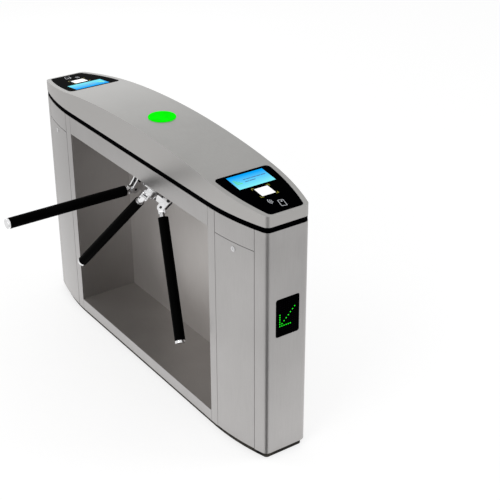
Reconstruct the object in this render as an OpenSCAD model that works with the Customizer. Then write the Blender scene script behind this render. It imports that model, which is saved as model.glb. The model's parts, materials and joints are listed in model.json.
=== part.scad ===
// Tripod turnstile: a long floor-standing steel cabinet that carries a three-armed barrier.
// +X runs along the cabinet to its near end, the arms are on the -Y side, +Z is up.
// The origin is on the floor, in the middle of the base.

/* [Cabinet] */
// Overall length of the cabinet
body_len = 1510; // [1490:5:1560]
// Height of the lid at the middle
body_h = 999; // [990:1:1010]
// Width across each end face
end_w = 164; // [158:1:172]
// Width across the straight middle
mid_w = 252; // [248:1:262]
// Length of each pedestal, from the recess to the end face
pedestal_len = 275; // [270:1:285]
// How far inside the ends of the recess the sides start to bow
bow_lead = 2; // [0:1:6]
// Radius of the upright corners at the ends
corner_r = 24; // [18:1:28]
// Height of the black plinth
plinth_h = 23; // [18:1:30]
// How far the plinth stands back from the skins
plinth_inset = 11; // [8:1:12]
// Drop from the top of the lid to the lower edge of the black trim band
band_drop = 126; // [122:1:130]
// Height of the black trim band
band_h = 19; // [14:1:24]
// How far the trim band stands back from the skins
band_inset = 1.5; // [0.5:0.5:3]
// Width of the trim band's ring, seen from above
band_w = 20; // [18:1:24]
// Thickness of the steel skins
sheet_t = 2; // [1.5:0.5:2.5]
// Open seam round the doors and upper panels
seam_gap = 1.6; // [1.4:0.1:2.4]
// Open seam at the ends of the fascia and the sill
joint_gap = 0.8; // [0.5:0.1:1.5]
// Depth of the folded lips along the edges of the skins
lip_depth = 14; // [13:1:14]

/* [Recess] */
// Height of the recess floor
recess_floor_z = 67; // [60:1:80]
// Drop from the top of the lid to the recess ceiling
recess_drop = 198; // [196:1:199]
// Distance of the recess back wall from the cabinet's back
recess_back_in = 10; // [7:1:14]

/* [Service doors] */
// Width of the jamb strip between the recess and a door
jamb_w = 40; // [36:1:46]
// Length of each end skin along the cabinet
end_skin_len = 50; // [47:1:55]
// Gap between the plinth and the lower edge of a door
door_lift = 2; // [1:0.5:7]
// Drop from the top of the lid to the upper edge of a door
door_drop = 205; // [200:1:211]
// Depth of the folded lips round a door
door_lip = 8; // [6:1:9]
// Distance of the lock below the door's upper edge
lock_drop = 23; // [20:1:26]
// Diameter of the lock's visible face
lock_face_d = 19; // [17:1:22]

/* [Lid] */
// Drop of the lid from the middle to the end faces
lid_end_drop = 68.5; // [64:0.5:72]
// Radius of the arched middle of the lid
arch_r = 3675; // [3500:25:3800]
// Length of each flat reader face along the cabinet
facet_run = 335; // [315:5:355]
// Diameter of the round status light
status_d = 100; // [90:1:110]
// How far the status light stands proud of the lid
status_rise = 3; // [1:0.5:5]
// How far each lid hinge stands from the middle
hinge_x = 300; // [200:10:400]

/* [Reader panels] */
// Length of each reader glass along the cabinet
glass_len = 256; // [254:1:260]
// Margin between the glass and the end face
glass_end_margin = 9; // [9:0.5:12]
// Margin between the glass and the lid's long edges
glass_side_margin = 18; // [16:1:22]
// Corner radius of the glass
glass_corner_r = 17; // [14:1:20]
// Thickness of the glass
glass_t = 4; // [3:0.5:5]

/* [Arrow windows] */
// Margin on each side of the arrow window in an end face
window_margin = 34.5; // [33:0.5:38]
// Height of the arrow window
window_h = 143; // [130:1:160]
// Drop from the top of the lid to the window's middle
window_drop = 448; // [400:1:500]
// Corner radius of the window
window_r = 8; // [5:1:12]

/* [Barrier] */
// Drop from the top of the lid to the barrier arm
arm_drop = 243.6; // [242:0.1:247]
// Distance of the arms' meeting point in front of the middle plane
apex_y = 26.7; // [25:0.1:29]
// Length of an arm from the meeting point to its tip
arm_len = 597.5; // [560:0.5:600]
// Diameter of the black sleeve on an arm
sleeve_d = 38; // [36:1:40]
// Diameter of the steel tube inside the sleeve
arm_tube_d = 32; // [30:1:33]
// Diameter of the bare neck between the fork and the sleeve
neck_d = 24; // [22:0.5:25]
// Distance from the meeting point to the start of the sleeve
sleeve_start = 137; // [132:1:145]
// Length of the polished cap at the tip of an arm
cap_len = 10; // [8:1:16]
// Radius at which the arm pins stand from the hub's axis
pin_radius = 72; // [71:0.5:74]
// Diameter of the arm pins
pin_d = 10; // [8:1:12]
// Thickness of the tongue at the root of an arm
tongue_t = 17; // [14:0.5:18]
// Thickness of each ear on the hub
ear_t = 6; // [5:0.5:8]
// Diameter of the round flange of the hub
hub_flange_d = 124; // [118:1:128]

/* [Mechanism] */
// Diameter of the spindle
spindle_d = 30; // [26:1:32]
// Outer diameter of the spindle bearings
bearing_d = 55; // [52:1:56]
// Width of a spindle bearing
bearing_w = 13; // [10:1:15]
// Diameter of the notched index disc
index_d = 104; // [100:1:105]
// Radial clearance of turning fits
run_gap = 0.05; // [0.03:0.01:0.08]
// Clearance between parts that pass each other
pass_gap = 0.5; // [0.4:0.1:0.7]

/* [Floor fixing] */
// Distance of the floor anchors from the end faces
anchor_in = 135; // [130:1:145]
// Distance between the floor anchors across the cabinet
anchor_dy = 80; // [74:1:84]
// Diameter of the anchor holes
anchor_d = 14; // [12:0.5:16]
// Diameter of the cable entries in the base
cable_d = 40; // [30:1:44]
// Thickness of the base plates
base_plate_t = 8; // [6:1:12]

/* [Hidden] */

$fn = 48;
// Facets of the long shallow curves
bow_fn = 360;
// Overrun of every cut
cut = 5;
steel = [0.66, 0.65, 0.64];
shade_steel = [0.42, 0.40, 0.39];
dark_steel = [0.30, 0.30, 0.31];
bright_steel = [0.80, 0.80, 0.81];
black = [0.04, 0.04, 0.045];
board_green = [0.05, 0.30, 0.12];

// Places along the cabinet, measured from the middle
half_len = body_len / 2;
recess_half = half_len - pedestal_len;
door_x0 = recess_half + jamb_w;
door_x1 = half_len - end_skin_len;
facet_x0 = half_len - facet_run;
glass_x1 = half_len - glass_end_margin;
glass_x0 = glass_x1 - glass_len;

// Heights above the floor
band_z = body_h - band_drop;
band_top = band_z + band_h;
recess_top_z = body_h - recess_drop;
door_z0 = plinth_h + door_lift;
door_z1 = body_h - door_drop;
lid_end_z = body_h - lid_end_drop;
window_z = body_h - window_drop;
arm_z = body_h - arm_drop;

// Bow of the long sides, from the straight middle to the end faces
half_w = mid_w / 2;
recess_back_y = half_w - recess_back_in;
straight_half = recess_half - bow_lead;
bow_run = half_len - straight_half;
bow_rise = (mid_w - end_w) / 2;
bow_r = (bow_run * bow_run + bow_rise * bow_rise) / (2 * bow_rise);
bow_cy = bow_r - half_w;

// Half width of the cabinet at a place along a bowed side
function bow_y(x) = sqrt(pow(bow_r, 2) - pow(x - straight_half, 2)) - bow_cy;

// Height of the lid above a place along the arch, and along the flat reader face
function arch_z(x) = body_h - arch_r + sqrt(pow(arch_r, 2) - pow(x, 2));
facet_slope = (arch_z(facet_x0) - lid_end_z) / (half_len - facet_x0);
function facet_z(x) = lid_end_z + facet_slope * (half_len - x);
facet_a = atan(facet_slope);

// The children as drawn at the near end, and mirrored to the far end
module both_ends() {
  children();
  mirror([1, 0, 0]) children();
}

// The children as drawn on the back side, and mirrored to the arm side
module both_sides() {
  children();
  mirror([0, 1, 0]) children();
}

// The children mirrored to the far end
module far_end() {
  mirror([1, 0, 0]) children();
}

// Block between two corners
module block(low, high) {
  translate(low) cube(high - low);
}

// Region that one rounded corner takes away from a bowed outline.
// side is 1 at the outer end of the outline and -1 at its inner end.
module corner_cut(edge_x, side, inset, r) {
  cx = edge_x - side * r;
  reach_x = cx - straight_half;
  reach_y = sqrt(pow(bow_r - inset - r, 2) - pow(reach_x, 2));
  out = [reach_x, reach_y] * (2 * r / norm([reach_x, reach_y]));
  translate([cx, reach_y - bow_cy])
    difference() {
      polygon([[0, 0], out, out + [side * 2 * r, 0], [side * 2 * r, 0]]);
      circle(r);
    }
}

// Area between the two bowed sides, from a place x0 to a place x1
module bow_area(x0, x1, inset) {
  intersection() {
    translate([straight_half, -bow_cy]) circle(bow_r - inset, $fn = bow_fn);
    translate([straight_half, bow_cy]) circle(bow_r - inset, $fn = bow_fn);
    translate([x0, -mid_w]) square([x1 - x0, 2 * mid_w]);
  }
}

// Plan outline of the cabinet, set in by an inset
module plan(inset) {
  edge_x = half_len - inset;
  square([2 * straight_half, mid_w - 2 * inset], center = true);
  both_ends()
    difference() {
      bow_area(straight_half - cut, edge_x, inset);
      if (inset < corner_r) both_sides() corner_cut(edge_x, 1, inset, corner_r - inset);
    }
}

// Bow-sided outline between two places along the cabinet, with four round corners
module bow_panel(x0, x1, inset, r) {
  difference() {
    bow_area(x0, x1, inset);
    both_sides() {
      corner_cut(x1, 1, inset, r);
      corner_cut(x0, -1, inset, r);
    }
  }
}

// Upright wall that follows the plan
module plan_wall(z0, z1, inset, t) {
  translate([0, 0, z0])
    linear_extrude(z1 - z0)
      difference() {
        plan(inset);
        plan(inset + t);
      }
}

// Arm-side skin between two places and two heights.
// lips says which edges are folded in: low x, high x, bottom and top.
module lipped_skin(x0, x1, z0, z1, depth, lips) {
  intersection() {
    plan_wall(z0, z1, 0, sheet_t);
    block([x0, -mid_w, z0], [x1, 0, z1]);
  }
  intersection() {
    plan_wall(z0, z1, 0, depth);
    difference() {
      block([x0, -mid_w, z0], [x1, 0, z1]);
      block(
        [x0 + lips[0] * sheet_t - (1 - lips[0]) * cut, -mid_w - cut, z0 + lips[2] * sheet_t - (1 - lips[2]) * cut],
        [x1 - lips[1] * sheet_t + (1 - lips[1]) * cut, cut, z1 - lips[3] * sheet_t + (1 - lips[3]) * cut]
      );
    }
  }
}

// Place on the arm side of the near bowed skin, with +Z pointing out of the skin
module on_bow(x, z) {
  phi = asin((x - straight_half) / bow_r);
  translate([straight_half + bow_r * sin(phi), bow_cy - bow_r * cos(phi), z])
    rotate([90, 0, phi]) children();
}

// Base
plinth_wall = 18;
base_plate_in = 50;
base_plate_margin = 30;
base_plate_x0 = recess_half + base_plate_in;
base_plate_x1 = half_len - base_plate_margin;
anchor_x = half_len - anchor_in;
cable_in = 80;
cable_x = half_len - cable_in;

// Door hinge: its axis runs along the chord of the near door, low down behind the skin
door_end_x = door_x1 - seam_gap;
chord_a = atan((bow_y(door_x0) - bow_y(door_x1)) / (door_x1 - door_x0));
hinge_in = 8;
hinge_up = 10;
knuckle_r = 6;
knuckle_len = 12;
knuckle_gap = 1;
door_pin_d = 6;
pin_end = 2;
hinge_half = 52;

module door_hinge_place() {
  mid_x = (door_x0 + door_x1) / 2;
  mid_y = (bow_y(door_x0) + bow_y(door_x1)) / 2;
  translate([mid_x - hinge_in * sin(chord_a), hinge_in * cos(chord_a) - mid_y, door_z0 + hinge_up])
    rotate([0, 0, chord_a]) children();
}

// Starts of the fixed knuckles and of the door's knuckles along the hinge axis
fixed_starts = [-hinge_half - knuckle_gap / 2 - knuckle_len, hinge_half - knuckle_gap / 2 - knuckle_len];
door_starts = [-hinge_half + knuckle_gap / 2, hinge_half + knuckle_gap / 2];

module hinge_barrel(x, r, len) {
  translate([x, 0, 0]) rotate([0, 90, 0]) cylinder(len, r = r);
}

module door_pin_bores() {
  door_hinge_place()
    for (x = [-hinge_half, hinge_half])
      hinge_barrel(x - 2 * knuckle_len, door_pin_d / 2 + run_gap, 4 * knuckle_len);
}

module hinge_brackets() {
  difference() {
    door_hinge_place()
      for (x = fixed_starts) {
        hinge_barrel(x, knuckle_r, knuckle_len);
        block(
          [x, -knuckle_r / 2, plinth_h - door_z0 - hinge_up - sheet_t],
          [x + knuckle_len, knuckle_r / 2, 0]
        );
      }
    door_pin_bores();
  }
}

// Plinth wall between two places along the cabinet
module plinth_part(x0, x1) {
  intersection() {
    plan_wall(0, plinth_h, plinth_inset, plinth_wall);
    block([x0, -mid_w, 0], [x1, mid_w, plinth_h]);
  }
}

// A foot under each pedestal, and a strip along each side between the feet
module base_frame() {
  color(black) {
    plinth_part(-recess_half, recess_half);
    difference() {
      union() {
        both_ends() plinth_part(recess_half + pass_gap, half_len);
        linear_extrude(base_plate_t)
          intersection() {
            plan(plinth_inset + plinth_wall / 2);
            both_ends() translate([base_plate_x0, -mid_w]) square([base_plate_x1 - base_plate_x0, 2 * mid_w]);
          }
      }
      for (sx = [-1, 1]) {
        for (sy = [-1, 1])
          translate([sx * anchor_x, sy * anchor_dy / 2, -cut]) cylinder(base_plate_t + 2 * cut, d = anchor_d);
        translate([sx * cable_x, 0, -cut]) cylinder(base_plate_t + 2 * cut, d = cable_d);
      }
    }
    both_ends() hinge_brackets();
  }
}

// Pedestal frames and beam
bar = 20;
post_gap = 2;
outer_post_in = 43;
outer_post_margin = 32;
post_y = half_w - lip_depth - post_gap - bar;
outer_post_x = half_len - outer_post_in;
outer_post_y = end_w / 2 - outer_post_margin;
frame_x = recess_half + sheet_t;

module pedestal_frame() {
  both_sides() {
    block([frame_x, post_y, plinth_h], [frame_x + bar, post_y + bar, band_z]);
    block([outer_post_x, outer_post_y, plinth_h], [outer_post_x + bar, outer_post_y + bar, band_z]);
    for (z = [plinth_h, band_z - bar]) {
      block([frame_x, -bar, z], [frame_x + bar, post_y + bar, z + bar]);
      block([outer_post_x, -bar, z], [outer_post_x + bar, outer_post_y + bar, z + bar]);
      block([frame_x, outer_post_y, z], [outer_post_x + bar, outer_post_y + bar, z + bar]);
    }
  }
}

module near_frame() {
  color(dark_steel) pedestal_frame();
}

module far_frame() {
  color(dark_steel) far_end() pedestal_frame();
}

mech_half = 100;
cross_w = 24;

module beam_frame() {
  rail_z = band_z - bar;
  color(dark_steel) {
    both_sides() block([-frame_x, post_y, rail_z], [frame_x, post_y + bar, band_z]);
    both_ends()
      block([mech_half, -post_y - bar / 2, rail_z], [mech_half + cross_w, post_y + bar / 2, band_z]);
  }
}

// Skins
window_w = end_w - 2 * window_margin;

module window_outline(grow) {
  w = window_w + 2 * grow;
  h = window_h + 2 * grow;
  r = window_r + grow;
  square([w - 2 * r, h], center = true);
  square([w, h - 2 * r], center = true);
  for (sx = [-1, 1])
    for (sy = [-1, 1])
      translate([sx * (w / 2 - r), sy * (h / 2 - r)]) circle(r);
}

// Middle of the near arrow window on the inner face of the end skin, with +Z pointing outward
module window_place() {
  translate([half_len - sheet_t, 0, window_z]) rotate([90, 0, 90]) children();
}

module end_skin() {
  difference() {
    intersection() {
      plan_wall(plinth_h, band_z, 0, lip_depth);
      difference() {
        block([door_x1, -mid_w, plinth_h], [body_len, mid_w, band_z]);
        translate([0, 0, plinth_h + sheet_t])
          linear_extrude(band_z - plinth_h - 2 * sheet_t)
            intersection() {
              plan(sheet_t);
              translate([door_x1 + sheet_t, -mid_w]) square([body_len, 2 * mid_w]);
            }
      }
    }
    window_place() translate([0, 0, -cut]) linear_extrude(sheet_t + 2 * cut) window_outline(0);
  }
}

module near_end_skin() {
  color(steel) end_skin();
}

module far_end_skin() {
  color(steel) far_end() end_skin();
}

module front_fascia() {
  span = recess_half - joint_gap;
  color(steel) lipped_skin(-span, span, recess_top_z, band_z, lip_depth, [0, 0, 0, 1]);
}

module front_sill() {
  span = recess_half - joint_gap;
  color(steel) lipped_skin(-span, span, plinth_h, recess_floor_z, lip_depth, [0, 0, 1, 0]);
}

module recess_jamb() {
  lipped_skin(recess_half, door_x0 - seam_gap, plinth_h, band_z, lip_depth, [1, 1, 1, 1]);
  block(
    [recess_half, -half_w + sheet_t, recess_floor_z - sheet_t],
    [recess_half + sheet_t, recess_back_y + sheet_t, recess_top_z + sheet_t]
  );
}

module recess_jambs() {
  color(shade_steel) both_ends() recess_jamb();
}

module upper_side_panels() {
  color(steel)
    both_ends() lipped_skin(door_x0, door_end_x, door_z1 + seam_gap, band_z, lip_depth, [1, 1, 1, 1]);
}

module recess_back() {
  color(shade_steel)
    block(
      [-recess_half, recess_back_y, recess_floor_z],
      [recess_half, recess_back_y + sheet_t, recess_top_z]
    );
}

module recess_floor() {
  color(shade_steel)
    block(
      [-recess_half, -half_w + sheet_t, recess_floor_z - sheet_t],
      [recess_half, recess_back_y + sheet_t, recess_floor_z]
    );
}

// Hub frame: the origin is the arms' meeting point, +Z runs up the hub's axis into the cabinet,
// and -Y is the outward direction of the barrier arm, square to the axis
axis_tilt = 45;

module hub_place() {
  translate([0, -apex_y, arm_z]) rotate([-axis_tilt, 0, 0]) children();
}

// Place in the cabinet's Y and Z of a point in the hub frame's Y and Z
function hub_yz(y, z) = [
  (y * cos(axis_tilt) + z * sin(axis_tilt)) - apex_y,
  (z * cos(axis_tilt) - y * sin(axis_tilt)) + arm_z
];

// Frame of one arm: the origin is the arms' meeting point, -Y runs along the arm
module arm_place(turn) {
  hub_place() rotate([0, 0, turn]) rotate([axis_tilt, 0, 0]) children();
}

turn_a = 0;
turn_b = 120;
turn_c = 240;

// Places along the hub's axis, measured from the arms' meeting point
flange_z0 = -42;
flange_z1 = -34;
nose_z = -62;
nose_d = 68;
hub_bore_z = -52;
housing_z0 = -30;
housing_z1 = 50;
housing_flange_z = 20;
housing_flange_t = 10;
housing_flange_d = 96;
housing_wall = 5;
bearing_in = 3;
plate_z = housing_flange_z + housing_flange_t;
plate_t = 10;
plate_top = plate_z + plate_t;
plate_y0 = -75;
plate_y1 = 52;
index_z = 56;
index_t = 8;
collar_z = housing_z1 - bearing_in + pass_gap;
collar_wall = 4;
nut_t = 12;
nut_flats = 46;
spindle_end = 3;
spindle_top = index_z + index_t + nut_t + spindle_end;

// Bolts of the bearing housing
bolt_circle_d = 80;
bolt_d = 6;
bolt_head_d = 10;
bolt_head_h = 4;
bolt_turns = [45, 135, 225, 315];

// Cheeks that hang the mechanism plate from the beam
cheek_t = 6;
cheek_half = 70;
cheek_margin = 4;

module cheek_outline() {
  polygon([
    [-cheek_half, band_z], [cheek_half, band_z], [cheek_half, recess_top_z],
    hub_yz(plate_y1, plate_top + cheek_margin), hub_yz(plate_y1, plate_z - cheek_margin),
    hub_yz(plate_y0, plate_z - cheek_margin)
  ]);
}

module bolt_places() {
  hub_place()
    for (a = bolt_turns)
      rotate([0, 0, a]) translate([bolt_circle_d / 2, 0, 0]) children();
}

module mech_frame() {
  color("gray") {
    difference() {
      hub_place() block([-mech_half, plate_y0, plate_z], [mech_half, plate_y1, plate_top]);
      hub_place()
        translate([0, 0, plate_z - cut]) cylinder(plate_t + 2 * cut, d = bearing_d + 2 * housing_wall + 2 * pass_gap);
      bolt_places() translate([0, 0, plate_z - cut]) cylinder(plate_t + 2 * cut, d = bolt_d);
    }
    both_ends() {
      translate([mech_half - cheek_t, 0, 0])
        rotate([90, 0, 90]) linear_extrude(cheek_t) cheek_outline();
      hub_place()
        translate([pawl_x, pawl_y, plate_top - sheet_t]) {
          cylinder(pawl_z - pass_gap - plate_top + sheet_t, d = pawl_shoulder_d);
          cylinder(pawl_z + pawl_t + pawl_post_end - plate_top + sheet_t, d = pawl_post_d);
        }
    }
  }
}

// Cover round the mechanism, under the recess ceiling
cover_z = -12;
cover_y = 72;
cover_back_y = 79;
cover_gap = 6;
cover_half = mech_half + cover_gap;
cover_flange = 10;

// Side outline of the cover, set in by an inset, up to a height
module cover_outline(inset, top) {
  z = cover_z + inset;
  y = cover_y - inset;
  back = cover_back_y - inset;
  front_y = z - (top - arm_z) / cos(axis_tilt);
  back_z = (back + apex_y) / cos(axis_tilt) - y;
  polygon([hub_yz(front_y, z), hub_yz(y, z), hub_yz(y, back_z), [back, top]]);
}

module cover_prism(half, inset, top) {
  translate([-half, 0, 0]) rotate([90, 0, 90]) linear_extrude(2 * half) cover_outline(inset, top);
}

module mech_cover() {
  front_y = hub_yz(cover_z - (recess_top_z - arm_z) / cos(axis_tilt), cover_z)[0];
  color(shade_steel)
    difference() {
      union() {
        cover_prism(cover_half + sheet_t, 0, recess_top_z);
        block(
          [-cover_half - sheet_t - cover_flange, front_y - cover_flange, recess_top_z - sheet_t],
          [cover_half + sheet_t + cover_flange, cover_back_y + cover_flange, recess_top_z]
        );
      }
      cover_prism(cover_half, sheet_t, recess_top_z + cut);
      hub_place()
        translate([0, 0, cover_z - cut])
          cylinder(sheet_t + 2 * cut, d = bearing_d + 2 * housing_wall + 2 * sheet_t);
    }
}

module recess_ceiling() {
  color(shade_steel)
    difference() {
      block(
        [-recess_half, -half_w + sheet_t, recess_top_z],
        [recess_half, recess_back_y + sheet_t, recess_top_z + sheet_t]
      );
      cover_prism(cover_half, sheet_t, recess_top_z + sheet_t + cut);
    }
}

module trim_band() {
  color(black) plan_wall(band_z, band_top, band_inset, band_w);
}

// Back panel and the fixed leaves of the lid hinges
lid_knuckle_r = 7;
lid_knuckle_len = 20;
lid_pin_d = 6;
leaf_t = 3;
leaf_h = 34;
leaf_seat = 1;
lid_axis_y = half_w + lid_knuckle_r + pass_gap;
leaf_x0 = -1.5 * lid_knuckle_len;

module lid_barrel(x, len, r) {
  translate([x, lid_axis_y, band_top]) rotate([0, 90, 0]) cylinder(len, r = r);
}

module lid_pin_bore() {
  lid_barrel(leaf_x0 - cut, 3 * lid_knuckle_len + 2 * cut, lid_pin_d / 2 + run_gap);
}

module fixed_leaf() {
  clear_z = band_top - lid_knuckle_r - 2 * pass_gap;
  difference() {
    union() {
      block([leaf_x0, half_w - leaf_seat, band_top - leaf_h], [-leaf_x0, half_w + leaf_t, clear_z]);
      for (x = [leaf_x0, -leaf_x0 - lid_knuckle_len + pass_gap]) {
        block([x, half_w - leaf_seat, clear_z - leaf_t], [x + lid_knuckle_len - pass_gap, half_w + leaf_t, band_top]);
        lid_barrel(x, lid_knuckle_len - pass_gap, lid_knuckle_r);
      }
    }
    lid_pin_bore();
  }
}

module lid_leaf() {
  clear_z = band_top + lid_knuckle_r + 2 * pass_gap;
  x0 = -lid_knuckle_len / 2;
  difference() {
    union() {
      block([leaf_x0, half_w - leaf_seat, clear_z], [-leaf_x0, half_w + leaf_t, band_top + leaf_h]);
      block([x0, half_w - leaf_seat, band_top], [-x0, half_w + leaf_t, clear_z + leaf_t]);
      lid_barrel(x0, lid_knuckle_len, lid_knuckle_r);
    }
    lid_pin_bore();
  }
}

module back_panel() {
  color(steel) {
    mirror([0, 1, 0])
      lipped_skin(-door_end_x, door_end_x, plinth_h, band_z, lip_depth, [1, 1, 1, 1]);
    for (x = [-hinge_x, hinge_x])
      translate([x, 0, 0]) fixed_leaf();
  }
}

module lid_hinge_pins() {
  color(bright_steel)
    for (x = [-hinge_x, hinge_x])
      translate([x, 0, 0]) lid_barrel(leaf_x0 - pin_end, 3 * lid_knuckle_len + 2 * pin_end, lid_pin_d / 2);
}

module door_hinge_pins() {
  color(bright_steel)
    both_ends()
      door_hinge_place()
        for (x = [-hinge_half, hinge_half])
          hinge_barrel(x - knuckle_gap / 2 - knuckle_len - pin_end, door_pin_d / 2, 2 * (knuckle_len + pin_end) + knuckle_gap);
}

// Arrow windows and the light boards behind them
window_flange = 2;
window_back_t = 3;
window_clear = 0.3;
board_t = 2;
board_gap = 8;
stud_d = 6;
dot_d = 4;
dot_h = 1.5;
dot_pitch = 8.5;
leg_dots = 6;
tail_dots = 8;
arrow_corner_shares = [-0.321, -0.224];

module arrow_windows() {
  color(black)
    both_ends()
      window_place() {
        linear_extrude(sheet_t) window_outline(-window_clear);
        translate([0, 0, -window_back_t]) linear_extrude(window_back_t) window_outline(window_flange);
      }
}

// Dots of the arrow: an upright leg, a level leg and a diagonal that leave one corner
module arrow_dots() {
  translate([arrow_corner_shares[0] * window_w, arrow_corner_shares[1] * window_h, 0])
    for (i = [0 : tail_dots - 1]) {
      translate([i * dot_pitch, i * dot_pitch, 0]) children();
      if (i > 0 && i < leg_dots) {
        translate([i * dot_pitch, 0, 0]) children();
        translate([0, i * dot_pitch, 0]) children();
      }
    }
}

module arrow_boards() {
  stud_x = window_w / 2 - window_r;
  stud_y = window_h / 2 - window_r;
  color(board_green)
    both_ends()
      window_place()
        translate([0, 0, -window_back_t - board_gap]) {
          translate([0, 0, -board_t]) linear_extrude(board_t) square([window_w, window_h], center = true);
          for (sx = [-1, 1])
            for (sy = [-1, 1])
              translate([sx * stud_x, sy * stud_y, 0]) cylinder(board_gap, d = stud_d);
          arrow_dots() cylinder(dot_h, d = dot_d);
        }
}

// Bearings and housing
module bearing_housing() {
  seat_d = bearing_d + 2 * run_gap;
  color(bright_steel)
    hub_place()
      difference() {
        union() {
          translate([0, 0, housing_z0]) cylinder(housing_z1 - housing_z0, d = bearing_d + 2 * housing_wall);
          translate([0, 0, housing_flange_z]) cylinder(housing_flange_t, d = housing_flange_d);
        }
        translate([0, 0, housing_z0 - cut])
          cylinder(housing_z1 - housing_z0 + 2 * cut, d = bearing_d - 2 * housing_wall);
        translate([0, 0, housing_z0 - cut]) cylinder(bearing_in + bearing_w + cut, d = seat_d);
        translate([0, 0, housing_z1 - bearing_in - bearing_w])
          cylinder(bearing_in + bearing_w + cut, d = seat_d);
        for (a = bolt_turns)
          rotate([0, 0, a])
            translate([bolt_circle_d / 2, 0, housing_flange_z - cut])
              cylinder(housing_flange_t + 2 * cut, d = bolt_d + 2 * pass_gap);
      }
}

module spindle_bearings() {
  color("silver")
    hub_place()
      for (z = [housing_z0 + bearing_in, housing_z1 - bearing_in - bearing_w])
        translate([0, 0, z])
          difference() {
            cylinder(bearing_w, d = bearing_d);
            translate([0, 0, -cut]) cylinder(bearing_w + 2 * cut, d = spindle_d + 2 * run_gap);
          }
}

module housing_bolts() {
  color(bright_steel)
    bolt_places()
      translate([0, 0, housing_flange_z]) {
        translate([0, 0, -bolt_head_h]) cylinder(bolt_head_h, d = bolt_head_d);
        cylinder(housing_flange_t + plate_t, d = bolt_d - pass_gap);
      }
}

// Index disc, pawls and solenoids, in the hub frame
notch_count = 6;
notch_w = 13;
notch_depth = 9;
pawl_t = 6;
pawl_z = index_z + (index_t - pawl_t) / 2;
pawl_rest = 2;
pawl_reach = 8;
pawl_x = index_d / 2 + pawl_rest + pawl_reach;
pawl_y = -46;
pawl_boss_r = 9;
pawl_post_d = 10;
pawl_shoulder_d = 16;
pawl_post_end = 4;
pawl_bar = 4;
pawl_lean = 7;
tooth_h = 5;
tail_len = 22;
tail_r = 5.5;
link_pin_d = 4;
link_slack = 0.4;
link_slot = 1.5;
plunger_d = 10;
plunger_len = 27;
head_half = 8;
head_wall = 3.5;
head_front = 6;
head_back = 11;
slot_back = 7;
solenoid_w = 18;
solenoid_len = 40;
solenoid_gap = 7;
bore_len = 26;
link_x = pawl_x + tail_len;
link_z = pawl_z + pawl_t / 2;

module index_disc() {
  color("darkgray")
    hub_place()
      difference() {
        translate([0, 0, index_z]) cylinder(index_t, d = index_d);
        translate([0, 0, index_z - cut]) cylinder(index_t + 2 * cut, d = spindle_d + 2 * run_gap);
        for (i = [0 : notch_count - 1])
          rotate([0, 0, i * 360 / notch_count])
            block(
              [index_d / 2 - notch_depth, -notch_w / 2, index_z - cut],
              [index_d / 2 + cut, notch_w / 2, index_z + index_t + cut]
            );
      }
}

module pawl_outline() {
  tooth_x = pawl_x - pawl_reach;
  arm_top = pawl_lean + pawl_x;
  difference() {
    union() {
      translate([pawl_x, pawl_y]) circle(pawl_boss_r);
      polygon([
        [pawl_x - pawl_bar, pawl_y], [pawl_x + pawl_bar, pawl_y],
        [arm_top + pawl_bar, tooth_h], [arm_top - pawl_bar, tooth_h]
      ]);
      polygon([[tooth_x, 0], [arm_top, -tooth_h / 2], [arm_top, tooth_h], [tooth_x, tooth_h]]);
      translate([pawl_x, pawl_y - pawl_bar]) square([tail_len, 2 * pawl_bar]);
      translate([link_x, pawl_y]) circle(tail_r);
    }
    translate([pawl_x, pawl_y]) circle(pawl_post_d / 2 + run_gap);
    for (sx = [-1, 1])
      translate([link_x + sx * link_slot, pawl_y]) circle(link_pin_d / 2 + link_slack);
    translate([link_x, pawl_y]) square([2 * link_slot, link_pin_d + 2 * link_slack], center = true);
  }
}

module pawl() {
  hub_place() translate([0, 0, pawl_z]) linear_extrude(pawl_t) pawl_outline();
}

module near_pawl() {
  color("silver") pawl();
}

module far_pawl() {
  color("silver") far_end() pawl();
}

module plunger() {
  head_z = pawl_t / 2 + pass_gap + head_wall;
  hub_place()
    translate([link_x, pawl_y, link_z]) {
      difference() {
        block([-head_half, -head_front, -head_z], [head_half, head_back, head_z]);
        block(
          [-head_half - cut, -head_front - cut, -pawl_t / 2 - pass_gap],
          [head_half + cut, slot_back, pawl_t / 2 + pass_gap]
        );
      }
      translate([0, 0, -head_z]) cylinder(2 * head_z, d = link_pin_d);
      translate([0, head_back - pass_gap, 0]) rotate([-90, 0, 0]) cylinder(plunger_len, d = plunger_d);
    }
}

module near_plunger() {
  color(bright_steel) plunger();
}

module far_plunger() {
  color(bright_steel) far_end() plunger();
}

module lock_solenoids() {
  body_y = pawl_y + head_back + solenoid_gap;
  color(dark_steel)
    both_ends()
      hub_place()
        difference() {
          block(
            [link_x - solenoid_w / 2, body_y, plate_top],
            [link_x + solenoid_w / 2, body_y + solenoid_len, link_z + solenoid_w / 2]
          );
          translate([link_x, body_y - cut, link_z])
            rotate([-90, 0, 0]) cylinder(bore_len + cut, d = plunger_d + 2 * run_gap);
        }
}

// Control unit and power supply, standing on the base plates
unit_in = 60;
unit_x0 = recess_half + unit_in;
unit_size = [60, 100, 250];
supply_size = [60, 100, 150];

module control_unit() {
  color(dark_steel)
    translate([unit_x0, -unit_size[1] / 2, base_plate_t]) cube(unit_size);
}

module power_supply() {
  color(dark_steel)
    far_end() translate([unit_x0, -supply_size[1] / 2, base_plate_t]) cube(supply_size);
}

// Lid
ledge_w = 6;
ledge_t = 2;
glass_gap = 0.4;

// Outline of the lid seen from the side, lowered by a drop
module lid_profile(drop) {
  end_x = half_len + cut;
  translate([0, -drop]) {
    intersection() {
      translate([0, body_h - arch_r]) circle(arch_r, $fn = bow_fn);
      translate([-facet_x0, 0]) square([2 * facet_x0, 2 * body_h]);
    }
    both_ends()
      polygon([[facet_x0 - lid_end_z / 2, 0], [end_x, 0], [end_x, facet_z(end_x)], [facet_x0, facet_z(facet_x0)]]);
  }
}

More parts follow.
